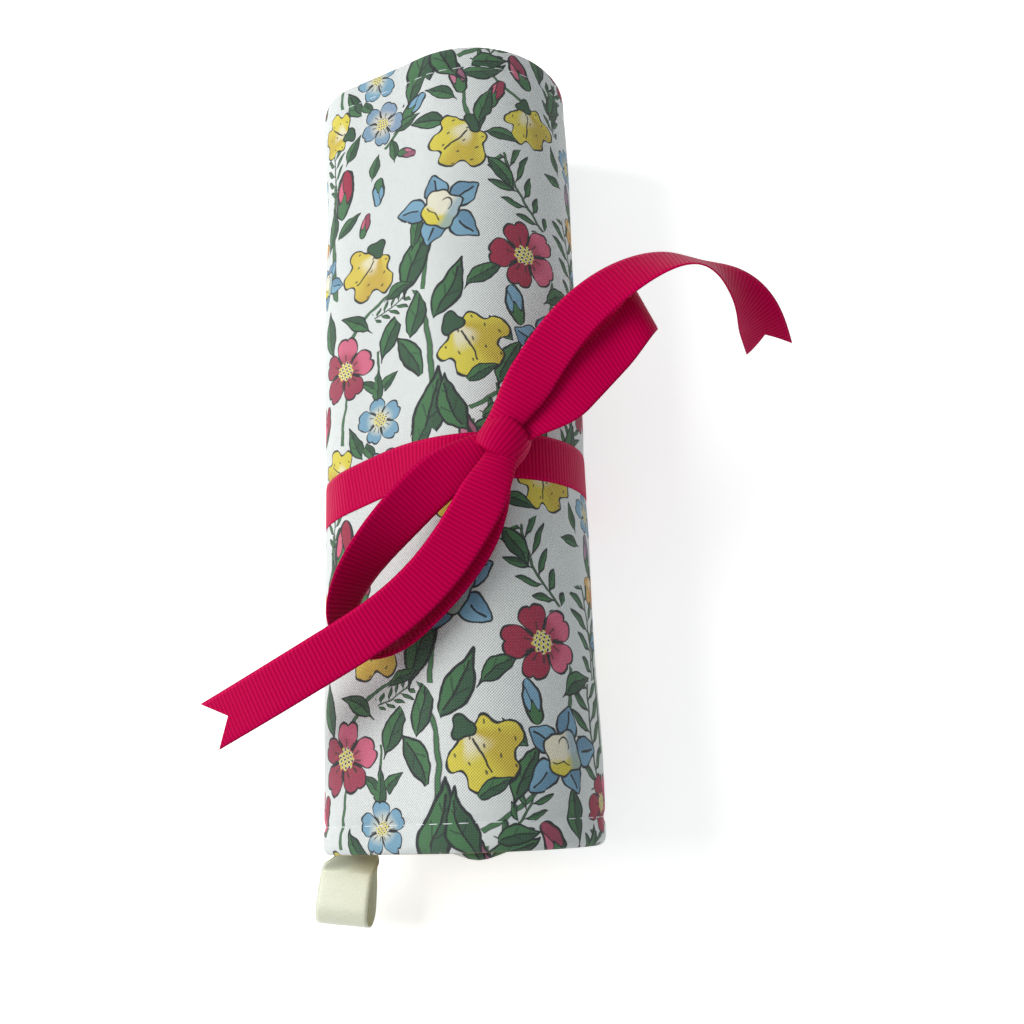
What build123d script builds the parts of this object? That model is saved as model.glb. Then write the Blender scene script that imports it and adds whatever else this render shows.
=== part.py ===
"""Rolled sewing case (a fabric needle and tool roll) tied round its middle with a ribbon bow.

Frame: millimetres, +Z up. The roll's axis runs along Y, its foot end (with the satin hanging loop)
towards -Y. The origin is the middle of the straight run of the cover that the roll lies on.

The mat is one long panel wound round a stuffed pincushion. Seen along Y, every layer follows the same
line: a straight run underneath, a large arc on the right, a straight slope over the top and a small arc
on the left, after which the line has moved in by one pitch and starts the next turn. All layers are
depths inside that line, so they lie face to face and never cross.
"""
from build123d import *
import math
import os

# ---- the mat and its roll --------------------------------------------------------------------------
MAT_WIDTH = 212.0        # length of the roll, end to end
LEFT_RADIUS = 18.65      # outside of the roll's smaller, left side
RIGHT_RADIUS = 27.4      # outside of the roll's larger, right side
REST_RUN = 24.8          # straight run that lies on the table
TURNS = 3                # whole turns of the mat round the pincushion

COVER_THICK = 0.9        # printed cotton with its fusible backing
WADDING_THICK = 1.8      # quilting wadding, pressed by the rolling
LINING_THICK = 0.5       # plain cotton lining
INSERT_THICK = 0.7       # pocket panel, or felt needle leaf, lying on the lining
TURN_GAP = 0.3           # air between one turn and the next
HEM = 3.0                # turned-in edge of the cover that closes round the wadding

# ---- pockets, needle leaf, pincushion --------------------------------------------------------------
POCKET_HEIGHT = 104.0    # along Y, from the foot hem
POCKET_START = 1.12      # places along the wound mat: whole part is the run or arc, see place_on_mat
POCKET_STOP = 3.60
POCKET_DIVIDERS = (1.40, 1.68, 2.20, 3.05, 3.33)
LEAF_HEIGHT = 92.0
LEAF_START = 5.15
LEAF_STOP = 6.85
CORE_CLEARANCE = 1.0     # between the innermost lining and the pincushion
CORE_CASE_THICK = 0.6
CORE_END_RECESS = 2.0    # the pincushion stops this far inside each end of the roll
CORE_TACKS = 5
CORE_TACK_PLACE = 2.5    # on the innermost turn: halfway along its top slope

# ---- thread ----------------------------------------------------------------------------------------
THREAD = 0.3             # sewing thread, drawn flush with the cloth it is pulled into
STITCH_INSET = 6.6       # from an edge of the mat to its line of top stitching
TACK_LENGTH = 3.0        # of the short bars of thread that hold the pincushion and the band
TACK_WIDTH = 0.6         # of the pincushion's tacks, two threads side by side

# ---- ribbon tie ------------------------------------------------------------------------------------
RIBBON_WIDTH = 12.0
RIBBON_THICK = 0.5       # the band is pulled into the cover by its own thickness
BAND_Y = -12.0           # middle of the band, just to the foot side of the roll's middle
KNOT = (18.0, -11.0)     # middle of the knot, seen from above
KNOT_LENGTH = 10.0
KNOT_WIDTH = 12.0
KNOT_HEIGHT = 9.0
KNOT_ROUNDING = 2.6
KNOT_SEAT = 0.6          # the knot's flat underside sinks this far below the crown of the band
SWALLOW_TAIL = 6.0       # depth of the notch cut in each tail's end
BAND_TACKS = 2
STRAND_CLEARANCE = 1.5   # the upper loop's lower strand passes this high over the roll's crown
UPPER_LOOP_START = 8.0   # from the knot's middle to where the upper loop leaves it
UPPER_LOOP_REACH = 50.0  # from the knot's middle to the outside of the fold
UPPER_LOOP_FOLD = 4.6    # outside radius of the fold
UPPER_LOOP_HEADING = 44.0  # degrees from +X, seen from above
LOOP_OPEN_FROM = 1.2     # a loop's two strands are cut off this far from the point where they would meet

# Stations of the soft ribbon pieces: x and y from the middle of the knot, height over the crown, bank
TAIL_UPPER = (
    (3.0, 8.0, 8.0, 0), (8.5, 16.0, 9.5, 2), (16.5, 26.5, 11.5, 6), (26.0, 35.0, 13.2, 16),
    (36.5, 40.8, 14.0, 32), (44.0, 42.6, 14.0, 46), (51.0, 41.8, 13.0, 56), (58.0, 38.5, 10.2, 34),
    (63.0, 35.2, 5.5, 4), (67.2, 31.8, -1.5, -26), (71.0, 28.4, -10.5, -46),
)
TAIL_LOWER = (
    (-2.0, -8.0, 8.0, 0), (-8.0, -19.0, 7.8, 0), (-17.0, -31.5, 7.2, 0), (-29.0, -42.0, 6.0, 0),
    (-42.0, -49.5, 3.6, 0), (-56.0, -56.5, -0.8, 0), (-72.5, -64.0, -8.4, 0),
)
LOOP_LOWER = (
    (-8.0, -3.0, 5.8, 0), (-16.0, -9.0, 6.6, 10), (-25.0, -17.5, 5.6, 28), (-33.5, -26.5, 2.2, 48),
    (-39.0, -35.0, -1.6, 60), (-40.0, -42.0, -3.4, 66), (-36.5, -46.5, -3.8, 60),
    (-30.0, -46.5, -2.8, 50), (-22.0, -41.0, 0.0, 36), (-14.0, -32.0, 2.0, 20), (-7.0, -21.0, 3.0, 8),
    (-3.0, -8.5, 3.2, 0),
)

# ---- satin hanging loop ----------------------------------------------------------------------------
SATIN_WIDTH = 14.0
SATIN_THICK = 0.4
LOOP_LENGTH = 18.0       # from the end of the mat to the outside of the fold
LOOP_FOLD_RADIUS = 4.0   # outside of the fold
LOOP_SEAM = 8.0          # length of the two ends that are sewn into the edge
LOOP_PLACE = 3.66        # where on the wound mat it is sewn in
LOOP_SLOPE = 10.0        # degrees, of the loop's width against the table
LOOP_GAP = 0.3           # between the roll's end and the loop, which bends there

# ---- worked out ------------------------------------------------------------------------------------
STACK = COVER_THICK + WADDING_THICK + LINING_THICK
PITCH = STACK + INSERT_THICK + TURN_GAP
HALF_WIDTH = MAT_WIDTH / 2
LEFT_CENTRE = (-REST_RUN / 2, LEFT_RADIUS + PITCH)
RIGHT_CENTRE = (REST_RUN / 2, RIGHT_RADIUS)
RUNS_PER_TURN = 4


def tangent_angles(left_radius, right_radius):
    """Angles (top, bottom) at which one straight line touches both circles from outside."""
    dx = RIGHT_CENTRE[0] - LEFT_CENTRE[0]
    dz = RIGHT_CENTRE[1] - LEFT_CENTRE[1]
    lean = math.degrees(math.atan2(dz, dx))
    spread = math.degrees(math.acos((left_radius - right_radius) / math.hypot(dx, dz)))
    return lean + spread, lean - spread


TOP_ANGLE = tangent_angles(LEFT_RADIUS, RIGHT_RADIUS)[0]
BOTTOM_ANGLE = -90.0


def on_circle(centre, radius, angle):
    """Point (x, z) on a circle."""
    a = math.radians(angle)
    return centre[0] + radius * math.cos(a), centre[1] + radius * math.sin(a)


def place_on_mat(place, depth):
    """Point (x, z) and outward angle at a place on the wound mat.

    The whole part of place counts runs from the free edge: 0 underneath, 1 right arc, 2 top slope,
    3 left arc, 4 underneath again one pitch further in, and so on. depth is measured inwards.
    """
    index = int(place)
    share = place - index
    turn, kind = divmod(index, RUNS_PER_TURN)
    inward = turn * PITCH + depth
    right = RIGHT_RADIUS - inward
    left = LEFT_RADIUS - inward
    if kind == 1:
        angle = BOTTOM_ANGLE + share * (TOP_ANGLE - BOTTOM_ANGLE)
        return on_circle(RIGHT_CENTRE, right, angle), angle
    if kind == 3:
        angle = TOP_ANGLE + share * (360 + BOTTOM_ANGLE - TOP_ANGLE)
        return on_circle(LEFT_CENTRE, left, angle), angle
    if kind == 0:
        a, b = on_circle(LEFT_CENTRE, left + PITCH, BOTTOM_ANGLE), on_circle(RIGHT_CENTRE, right, BOTTOM_ANGLE)
        angle = BOTTOM_ANGLE
    else:
        a, b = on_circle(RIGHT_CENTRE, right, TOP_ANGLE), on_circle(LEFT_CENTRE, left, TOP_ANGLE)
        angle = TOP_ANGLE
    return (a[0] + share * (b[0] - a[0]), a[1] + share * (b[1] - a[1])), angle


def run_length(index):
    """Length of one run or arc of the mat, on its outside."""
    turn, kind = divmod(index, RUNS_PER_TURN)
    if kind == 1:
        return (RIGHT_RADIUS - turn * PITCH) * math.radians(TOP_ANGLE - BOTTOM_ANGLE)
    if kind == 3:
        return (LEFT_RADIUS - turn * PITCH) * math.radians(360 + BOTTOM_ANGLE - TOP_ANGLE)
    a, b = place_on_mat(index, 0)[0], place_on_mat(index + 1 - 1e-9, 0)[0]
    return math.dist(a, b)


def at(xz, y=0.0):
    """A point of the cross-section, carried to y along the roll."""
    return Vector(xz[0], y, xz[1])


def mat_line(depth, start, stop, y):
    """Edges of the mat's line at one depth, between two places."""
    edges = []
    place = start
    while place < stop - 1e-9:
        nxt = min(int(place) + 1, stop)
        last = nxt - 1e-9
        a, b = at(place_on_mat(place, depth)[0], y), at(place_on_mat(last, depth)[0], y)
        if edges:
            a = edges[-1] @ 1
        if int(place) % 2:
            middle = at(place_on_mat((place + last) / 2, depth)[0], y)
            edges.append(Edge.make_three_point_arc(a, middle, b))
        else:
            edges.append(Edge.make_line(a, b))
        place = nxt
    return edges


def mat_band(outer, inner, start, stop, y_from, y_to):
    """A layer of the mat between two depths and two places, from y_from to y_to."""
    outside = mat_line(outer, start, stop, y_from)
    inside = mat_line(inner, start, stop, y_from)
    caps = [
        Edge.make_line(outside[0] @ 0, inside[0] @ 0),
        Edge.make_line(outside[-1] @ 1, inside[-1] @ 1),
    ]
    face = Face(Wire(outside + inside + caps))
    return extrude(face, amount=y_to - y_from, dir=(0, 1, 0))


def two_circle_face(left_radius, right_radius, y):
    """The outline of a belt round the roll's two circles, at y."""
    top, bottom = tangent_angles(left_radius, right_radius)
    a = at(on_circle(RIGHT_CENTRE, right_radius, bottom), y)
    b = at(on_circle(RIGHT_CENTRE, right_radius, top), y)
    c = at(on_circle(LEFT_CENTRE, left_radius, top), y)
    d = at(on_circle(LEFT_CENTRE, left_radius, bottom), y)
    right = at(on_circle(RIGHT_CENTRE, right_radius, (top + bottom) / 2), y)
    left = at(on_circle(LEFT_CENTRE, left_radius, (top + bottom) / 2 + 180), y)
    return Face(Wire([
        Edge.make_three_point_arc(a, right, b),
        Edge.make_line(b, c),
        Edge.make_three_point_arc(c, left, d),
        Edge.make_line(d, a),
    ]))


def local_plane(place, depth, y):
    """Plane at a place on the mat: x along the mat, y inwards through it, z along the roll."""
    xz, angle = place_on_mat(place, depth)
    a = math.radians(angle)
    return Plane(origin=at(xz, y), x_dir=(-math.sin(a), 0, math.cos(a)), z_dir=(0, 1, 0))


def thread_across(place, depth, y_from, y_to):
    """A line of stitching that runs along the roll, flush with the surface at depth."""
    box = Box(THREAD, THREAD, y_to - y_from, align=(Align.CENTER, Align.MIN, Align.MIN))
    plane = local_plane(place, depth, y_from)
    inward = place_on_mat(place, depth)[1] + 180
    flip = plane.y_dir.dot(Vector(math.cos(math.radians(inward)), 0, math.sin(math.radians(inward)))) < 0
    return plane * (Pos(0, -THREAD if flip else 0, 0) * box)


def thread_along(depth, start, stop, y):
    """A line of stitching that follows the mat round the roll at y."""
    return mat_band(depth, depth + THREAD, start, stop, y - THREAD / 2, y + THREAD / 2)


def compound(solids):
    """Separate solids as one group."""
    return Compound(children=list(solids))


def build_mat():
    """Cover, wadding, lining and the lines of stitching round their edges."""
    end = TURNS * RUNS_PER_TURN
    hem_start = HEM / run_length(0)
    hem_stop = end - HEM / run_length(end - 1)
    padded = COVER_THICK + WADDING_THICK
    wadding = mat_band(COVER_THICK, padded, hem_start, hem_stop, HEM - HALF_WIDTH, HALF_WIDTH - HEM)
    cover = mat_band(0, padded, 0, end, -HALF_WIDTH, HALF_WIDTH) - wadding
    lining = mat_band(padded, STACK, 0, end, -HALF_WIDTH, HALF_WIDTH)

    inset_start = STITCH_INSET / run_length(0)
    inset_stop = end - STITCH_INSET / run_length(end - 1)
    stitching = {}
    for name, y in (("edge_stitching_foot", STITCH_INSET - HALF_WIDTH),
                    ("edge_stitching_head", HALF_WIDTH - STITCH_INSET)):
        outside = thread_along(0, inset_start, inset_stop, y)
        inside = thread_along(STACK - THREAD, inset_start, inset_stop, y)
        cover -= outside
        lining -= inside
        stitching[name] = [outside, inside]
    reach = HALF_WIDTH - STITCH_INSET - THREAD
    outside = thread_across(inset_start, 0, -reach, reach)
    inside = thread_across(inset_start, STACK - THREAD, -reach, reach)
    cover -= outside
    lining -= inside
    stitching["flap_edge_stitching"] = [outside, inside]
    return cover, wadding, lining, stitching


def build_pocket():
    """Pocket panel on the lining of the outer turn, and the stitching that divides it."""
    foot = -HALF_WIDTH + HEM + STITCH_INSET
    panel = mat_band(STACK, STACK + INSERT_THICK, POCKET_START, POCKET_STOP, foot, foot + POCKET_HEIGHT)
    depth = STACK + INSERT_THICK - THREAD
    dividers = [thread_across(p, depth, foot + THREAD, foot + POCKET_HEIGHT - THREAD) for p in POCKET_DIVIDERS]
    for line in dividers:
        panel -= line
    return panel, dividers


def build_needle_leaf():
    """Felt leaf for needles on the lining of the second turn, and its line of stitching."""
    leaf = mat_band(STACK, STACK + INSERT_THICK, LEAF_START, LEAF_STOP, -LEAF_HEIGHT / 2, LEAF_HEIGHT / 2)
    place = LEAF_START + STITCH_INSET / 2 / run_length(int(LEAF_START))
    reach = LEAF_HEIGHT / 2 - THREAD
    line = thread_across(place, STACK + INSERT_THICK - THREAD, -reach, reach)
    return leaf - line, line


def build_pincushion():
    """Stuffed pincushion that the mat is wound round, its case, and the tacks that hold it."""
    inward = (TURNS - 1) * PITCH + STACK + CORE_CLEARANCE
    left, right = LEFT_RADIUS - inward, RIGHT_RADIUS - inward
    y = -HALF_WIDTH + CORE_END_RECESS
    length = MAT_WIDTH - 2 * CORE_END_RECESS
    outside = extrude(two_circle_face(left, right, y), amount=length, dir=(0, 1, 0))
    filling = extrude(
        two_circle_face(left - CORE_CASE_THICK, right - CORE_CASE_THICK, y + CORE_CASE_THICK),
        amount=length - 2 * CORE_CASE_THICK, dir=(0, 1, 0))
    place = (TURNS - 1) * RUNS_PER_TURN + CORE_TACK_PLACE
    spacing = length / CORE_TACKS
    tacks = []
    for n in range(CORE_TACKS):
        plane = local_plane(place, STACK + CORE_CLEARANCE / 2, y + spacing * (n + 0.5))
        tacks.append(plane * Box(TACK_WIDTH, CORE_CLEARANCE, TACK_LENGTH))
    return outside - filling, filling, tacks


def build_band():
    """Ribbon round the roll, let into the cover, with the tacks that hold it underneath."""
    y = BAND_Y - RIBBON_WIDTH / 2
    corner = Vector(-REST_RUN / 2, y, 0)
    touch = 270 - math.degrees(math.acos(LEFT_RADIUS / LEFT_CENTRE[1]))
    right_bottom = at(on_circle(RIGHT_CENTRE, RIGHT_RADIUS, BOTTOM_ANGLE), y)
    right_top = at(on_circle(RIGHT_CENTRE, RIGHT_RADIUS, TOP_ANGLE), y)
    left_top = at(on_circle(LEFT_CENTRE, LEFT_RADIUS, TOP_ANGLE), y)
    left_bottom = at(on_circle(LEFT_CENTRE, LEFT_RADIUS, touch), y)
    right_mid = at(on_circle(RIGHT_CENTRE, RIGHT_RADIUS, (TOP_ANGLE + BOTTOM_ANGLE) / 2), y)
    left_mid = at(on_circle(LEFT_CENTRE, LEFT_RADIUS, (TOP_ANGLE + touch) / 2), y)
    outline = Wire([
        Edge.make_line(corner, right_bottom),
        Edge.make_three_point_arc(right_bottom, right_mid, right_top),
        Edge.make_line(right_top, left_top),
        Edge.make_three_point_arc(left_top, left_mid, left_bottom),
        Edge.make_line(left_bottom, corner),
    ])
    plane = Plane(origin=(0, y, 0), x_dir=(1, 0, 0), z_dir=(0, -1, 0))
    flat = plane.to_local_coords(Face(outline))
    ring = flat - offset(flat, amount=-RIBBON_THICK, kind=Kind.INTERSECTION)
    band = extrude(plane * ring, amount=RIBBON_WIDTH, dir=(0, 1, 0))
    tacks = []
    for n in range(BAND_TACKS):
        offset_y = (n - (BAND_TACKS - 1) / 2) * RIBBON_WIDTH / 2
        tacks.append(Pos(0, BAND_Y + offset_y, 0) * Box(
            TACK_LENGTH, THREAD, COVER_THICK, align=(Align.CENTER, Align.CENTER, Align.MIN)))
    for tack in tacks:
        band -= tack
    return band, tacks


def roll_top(x):
    """Height of the outside of the roll above the table at x."""
    x_right, z_right = on_circle(RIGHT_CENTRE, RIGHT_RADIUS, TOP_ANGLE)
    x_left, z_left = on_circle(LEFT_CENTRE, LEFT_RADIUS, TOP_ANGLE)
    if x >= x_right:
        return RIGHT_CENTRE[1] + math.sqrt(max(0.0, RIGHT_RADIUS ** 2 - (x - RIGHT_CENTRE[0]) ** 2))
    if x <= x_left:
        return LEFT_CENTRE[1] + math.sqrt(max(0.0, LEFT_RADIUS ** 2 - (x - LEFT_CENTRE[0]) ** 2))
    return z_left + (x - x_left) / (x_right - x_left) * (z_right - z_left)


CROWN = roll_top(RIGHT_CENTRE[0])          # highest line of the roll
KNOT_BASE = roll_top(KNOT[0]) - KNOT_SEAT


def build_knot():
    """Rounded knot that sits on the band, shaped to the roll underneath."""
    block = Box(KNOT_WIDTH, KNOT_LENGTH, KNOT_HEIGHT, align=(Align.CENTER, Align.CENTER, Align.MIN))
    rounded = block.edges().group_by(Axis.Z)[-1] + block.edges().filter_by(Axis.Z)
    block = fillet(rounded, KNOT_ROUNDING)
    roll = extrude(two_circle_face(LEFT_RADIUS, RIGHT_RADIUS, -HALF_WIDTH), amount=MAT_WIDTH, dir=(0, 1, 0))
    return Pos(KNOT[0], KNOT[1], KNOT_BASE) * block - roll


def ribbon_section(point, along, bank, width, thick):
    """Rectangle across a ribbon: along is its direction, bank turns it about that, in degrees."""
    side = along.cross(Vector(0, 0, 1)).normalized()
    face_up = side.cross(along).normalized()
    b = math.radians(bank)
    across = side * math.cos(b) + face_up * math.sin(b)
    plane = Plane(origin=point, x_dir=across, z_dir=along)
    return plane * Rectangle(width, thick)


def ribbon_strip(stations, width=RIBBON_WIDTH, thick=RIBBON_THICK):
    """Ribbon through hand-chosen stations (x, y, z, bank), ruled from each to the next."""
    points = [Vector(*s[:3]) for s in stations]
    sections = []
    for i, (x, y, z, bank) in enumerate(stations):
        before, after = points[max(i - 1, 0)], points[min(i + 1, len(points) - 1)]
        sections.append(ribbon_section(points[i], (after - before).normalized(), bank, width, thick))
    return loft(sections, ruled=True)


def notch(stations):
    """Wedge that cuts the swallow tail in the last station's end of a ribbon."""
    a, b = Vector(*stations[-2][:3]), Vector(*stations[-1][:3])
    along = (b - a).normalized()
    side = along.cross(Vector(0, 0, 1)).normalized()
    face_up = side.cross(along).normalized()
    bank = math.radians(stations[-1][3])
    across = side * math.cos(bank) + face_up * math.sin(bank)
    plane = Plane(origin=b, x_dir=along, z_dir=along.cross(across))
    half = RIBBON_WIDTH / 2
    outline = Polyline((-SWALLOW_TAIL, 0), (1, half * (1 + 1 / SWALLOW_TAIL)),
                       (1, -half * (1 + 1 / SWALLOW_TAIL)), close=True)
    return extrude(plane * make_face(outline), amount=RIBBON_WIDTH, both=True)


def place_ribbon(stations):
    """Stations of a ribbon piece in the part's frame."""
    return [(KNOT[0] + x, KNOT[1] + y, CROWN + z, bank) for x, y, z, bank in stations]


def teardrop(length, fold_radius, thick, width):
    """Loop of ribbon in its own frame: its seam near the origin, its fold towards +X, its width along Z."""
    def outline(radius):
        reach = length - fold_radius
        swing = math.asin(radius / reach)
        touch = Vector(reach - radius * math.sin(swing), radius * math.cos(swing))
        return make_face([
            Line((0, 0), touch),
            ThreePointArc(touch, (reach + radius, 0), (touch.X, -touch.Y)),
            Line((touch.X, -touch.Y), (0, 0)),
        ])
    body = extrude(outline(fold_radius), amount=width / 2, both=True)
    hole = extrude(outline(fold_radius - thick), amount=width, both=True)
    return body - hole & Pos(LOOP_OPEN_FROM, 0, 0) * Box(
        2 * length, 4 * fold_radius, 2 * width, align=(Align.MIN, Align.CENTER, Align.CENTER))


def build_upper_loop():
    """Bow loop towards the head end: two strands, one over the other, folded at the outer end."""
    loop = teardrop(UPPER_LOOP_REACH - UPPER_LOOP_START, UPPER_LOOP_FOLD, RIBBON_THICK, RIBBON_WIDTH)
    a = math.radians(UPPER_LOOP_HEADING)
    along = Vector(math.cos(a), math.sin(a), 0)
    side = along.cross(Vector(0, 0, 1))
    origin = Vector(KNOT[0], KNOT[1], CROWN + STRAND_CLEARANCE + UPPER_LOOP_FOLD) + along * UPPER_LOOP_START
    return Plane(origin=origin, x_dir=along, z_dir=side) * loop


def hanging_loop_frame():
    """Plane of the hanging loop: x outwards from the foot end, z along its width."""
    xz = place_on_mat(LOOP_PLACE, COVER_THICK + SATIN_THICK)[0]
    a = math.radians(LOOP_SLOPE)
    return Plane(origin=at(xz, -HALF_WIDTH - LOOP_GAP), x_dir=(0, -1, 0), z_dir=(math.cos(a), 0, math.sin(a)))


def build_hanging_loop():
    """Satin loop beyond the foot end, and its two ends between cover and wadding."""
    loop = hanging_loop_frame() * teardrop(LOOP_LENGTH, LOOP_FOLD_RADIUS, SATIN_THICK, SATIN_WIDTH)
    half = SATIN_WIDTH / 2 / run_length(int(LOOP_PLACE))
    ends = mat_band(COVER_THICK, COVER_THICK + 2 * SATIN_THICK, LOOP_PLACE - half, LOOP_PLACE + half,
                    -HALF_WIDTH, -HALF_WIDTH + LOOP_SEAM)
    return loop, ends


def main():
    cover, wadding, lining, stitching = build_mat()
    pocket, dividers = build_pocket()
    leaf, leaf_line = build_needle_leaf()
    case, filling, core_tacks = build_pincushion()
    band, band_tacks = build_band()
    hanging_loop, loop_ends = build_hanging_loop()

    cover = cover - band - loop_ends
    for tack in band_tacks:
        cover -= tack
    wadding -= loop_ends
    stitching["flap_edge_stitching"] = [line - band for line in stitching["flap_edge_stitching"]]

    tail_upper, tail_lower, loop_lower = (place_ribbon(s) for s in (TAIL_UPPER, TAIL_LOWER, LOOP_LOWER))

    nodes = {
        "cover_panel": cover,
        "wadding_layer": wadding,
        "lining_panel": lining,
        "pocket_panel": pocket,
        "pocket_divider_stitching": compound(dividers),
        "needle_leaf": leaf,
        "needle_leaf_stitching": leaf_line,
        "pincushion_case": case,
        "pincushion_filling": filling,
        "pincushion_tacks": compound(core_tacks),
        "ribbon_band": band,
        "ribbon_band_tacks": compound(band_tacks),
        "ribbon_knot": build_knot(),
        "bow_loop_upper": build_upper_loop(),
        "bow_loop_lower": ribbon_strip(loop_lower),
        "ribbon_tail_upper": ribbon_strip(tail_upper) - notch(tail_upper),
        "ribbon_tail_lower": ribbon_strip(tail_lower) - notch(tail_lower),
        "hanging_loop": hanging_loop,
        "hanging_loop_ends": loop_ends,
    }
    for name, lines in stitching.items():
        nodes[name] = compound(s for line in lines for s in line.solids())

    os.makedirs("parts", exist_ok=True)
    for name, shape in nodes.items():
        export_step(shape, f"parts/{name}.step")


main()
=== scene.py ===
"""Looks of a rolled sewing case: a printed cotton mat wound round a pincushion and tied with a ribbon bow.

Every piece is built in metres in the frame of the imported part: +Z up, the roll's axis along Y, its foot
end (with the satin hanging loop) towards -Y, and the origin in the middle of the run that the roll rests
on. Distances on the cloth itself are given in millimetres, as a maker would mark them.
"""

import logging
import math
from dataclasses import dataclass, field
from enum import Enum
from typing import Any, Sequence

import bmesh
import bpy
import numpy as np
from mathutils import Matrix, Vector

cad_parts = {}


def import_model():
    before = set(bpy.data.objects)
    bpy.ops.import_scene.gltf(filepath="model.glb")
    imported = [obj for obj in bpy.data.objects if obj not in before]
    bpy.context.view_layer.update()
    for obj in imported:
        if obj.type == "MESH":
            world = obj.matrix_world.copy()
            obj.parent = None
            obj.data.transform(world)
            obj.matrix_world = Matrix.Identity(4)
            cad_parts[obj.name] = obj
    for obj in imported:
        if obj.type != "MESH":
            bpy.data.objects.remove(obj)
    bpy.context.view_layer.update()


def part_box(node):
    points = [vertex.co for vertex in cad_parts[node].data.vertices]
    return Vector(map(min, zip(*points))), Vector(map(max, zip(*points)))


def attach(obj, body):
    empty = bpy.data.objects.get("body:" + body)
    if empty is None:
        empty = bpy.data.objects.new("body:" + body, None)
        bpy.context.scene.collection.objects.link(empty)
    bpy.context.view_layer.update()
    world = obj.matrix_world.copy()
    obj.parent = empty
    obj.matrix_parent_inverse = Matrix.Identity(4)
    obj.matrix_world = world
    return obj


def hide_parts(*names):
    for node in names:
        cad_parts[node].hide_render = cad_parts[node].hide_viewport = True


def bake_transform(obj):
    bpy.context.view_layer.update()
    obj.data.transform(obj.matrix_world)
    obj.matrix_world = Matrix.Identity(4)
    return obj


LOG = logging.getLogger("sewing_case")
MM = 0.001
TURN = 2 * math.pi


def linear(red: int, green: int, blue: int) -> tuple[float, float, float, float]:
    """Scene colour of a swatch given in the usual 0 to 255 steps.

    Args:
        red, green, blue: the swatch.

    Returns:
        Linear colour with full alpha.
    """
    steps = np.array([red, green, blue]) / 255.0
    light = np.where(steps <= 0.04045, steps / 12.92, ((steps + 0.055) / 1.055) ** 2.4)
    return float(light[0]), float(light[1]), float(light[2]), 1.0


# ---- node building ---------------------------------------------------------------------------------


@dataclass(frozen=True)
class Signal:
    """A value that changes over a surface. Arithmetic on it adds Math nodes to its tree."""

    graph: "Graph"
    socket: bpy.types.NodeSocket

    def __add__(self, other: Any) -> "Signal":
        """This value plus another."""
        return self.graph.math("ADD", self, other)

    def __radd__(self, other: Any) -> "Signal":
        """A number plus this value."""
        return self.graph.math("ADD", other, self)

    def __sub__(self, other: Any) -> "Signal":
        """This value less another."""
        return self.graph.math("SUBTRACT", self, other)

    def __rsub__(self, other: Any) -> "Signal":
        """A number less this value."""
        return self.graph.math("SUBTRACT", other, self)

    def __mul__(self, other: Any) -> "Signal":
        """This value times another."""
        return self.graph.math("MULTIPLY", self, other)

    def __rmul__(self, other: Any) -> "Signal":
        """A number times this value."""
        return self.graph.math("MULTIPLY", other, self)

    def __truediv__(self, other: Any) -> "Signal":
        """This value over another."""
        return self.graph.math("DIVIDE", self, other)

    def abs(self) -> "Signal":
        """Its size without its sign."""
        return self.graph.math("ABSOLUTE", self)

    def floor(self) -> "Signal":
        """The whole number below it."""
        return self.graph.math("FLOOR", self)

    def sin(self) -> "Signal":
        """Its sine."""
        return self.graph.math("SINE", self)

    def cos(self) -> "Signal":
        """Its cosine."""
        return self.graph.math("COSINE", self)

    def least(self, other: Any) -> "Signal":
        """The smaller of this and another."""
        return self.graph.math("MINIMUM", self, other)

    def most(self, other: Any) -> "Signal":
        """The larger of this and another."""
        return self.graph.math("MAXIMUM", self, other)

    def power(self, other: float) -> "Signal":
        """This value to a power."""
        return self.graph.math("POWER", self, other)

    def below(self, edge: float, soft: float = 0.02) -> "Signal":
        """Mask of where it is under an edge.

        Args:
            edge: value at the middle of the change.
            soft: width of the change.

        Returns:
            1 under the edge, 0 over it.
        """
        return self.graph.math("MULTIPLY_ADD", self, -1 / soft, edge / soft + 0.5, clamp=True)

    def above(self, edge: float, soft: float = 0.02) -> "Signal":
        """Mask of where it is over an edge.

        Args:
            edge: value at the middle of the change.
            soft: width of the change.

        Returns:
            1 over the edge, 0 under it.
        """
        return self.graph.math("MULTIPLY_ADD", self, 1 / soft, 0.5 - edge / soft, clamp=True)


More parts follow.
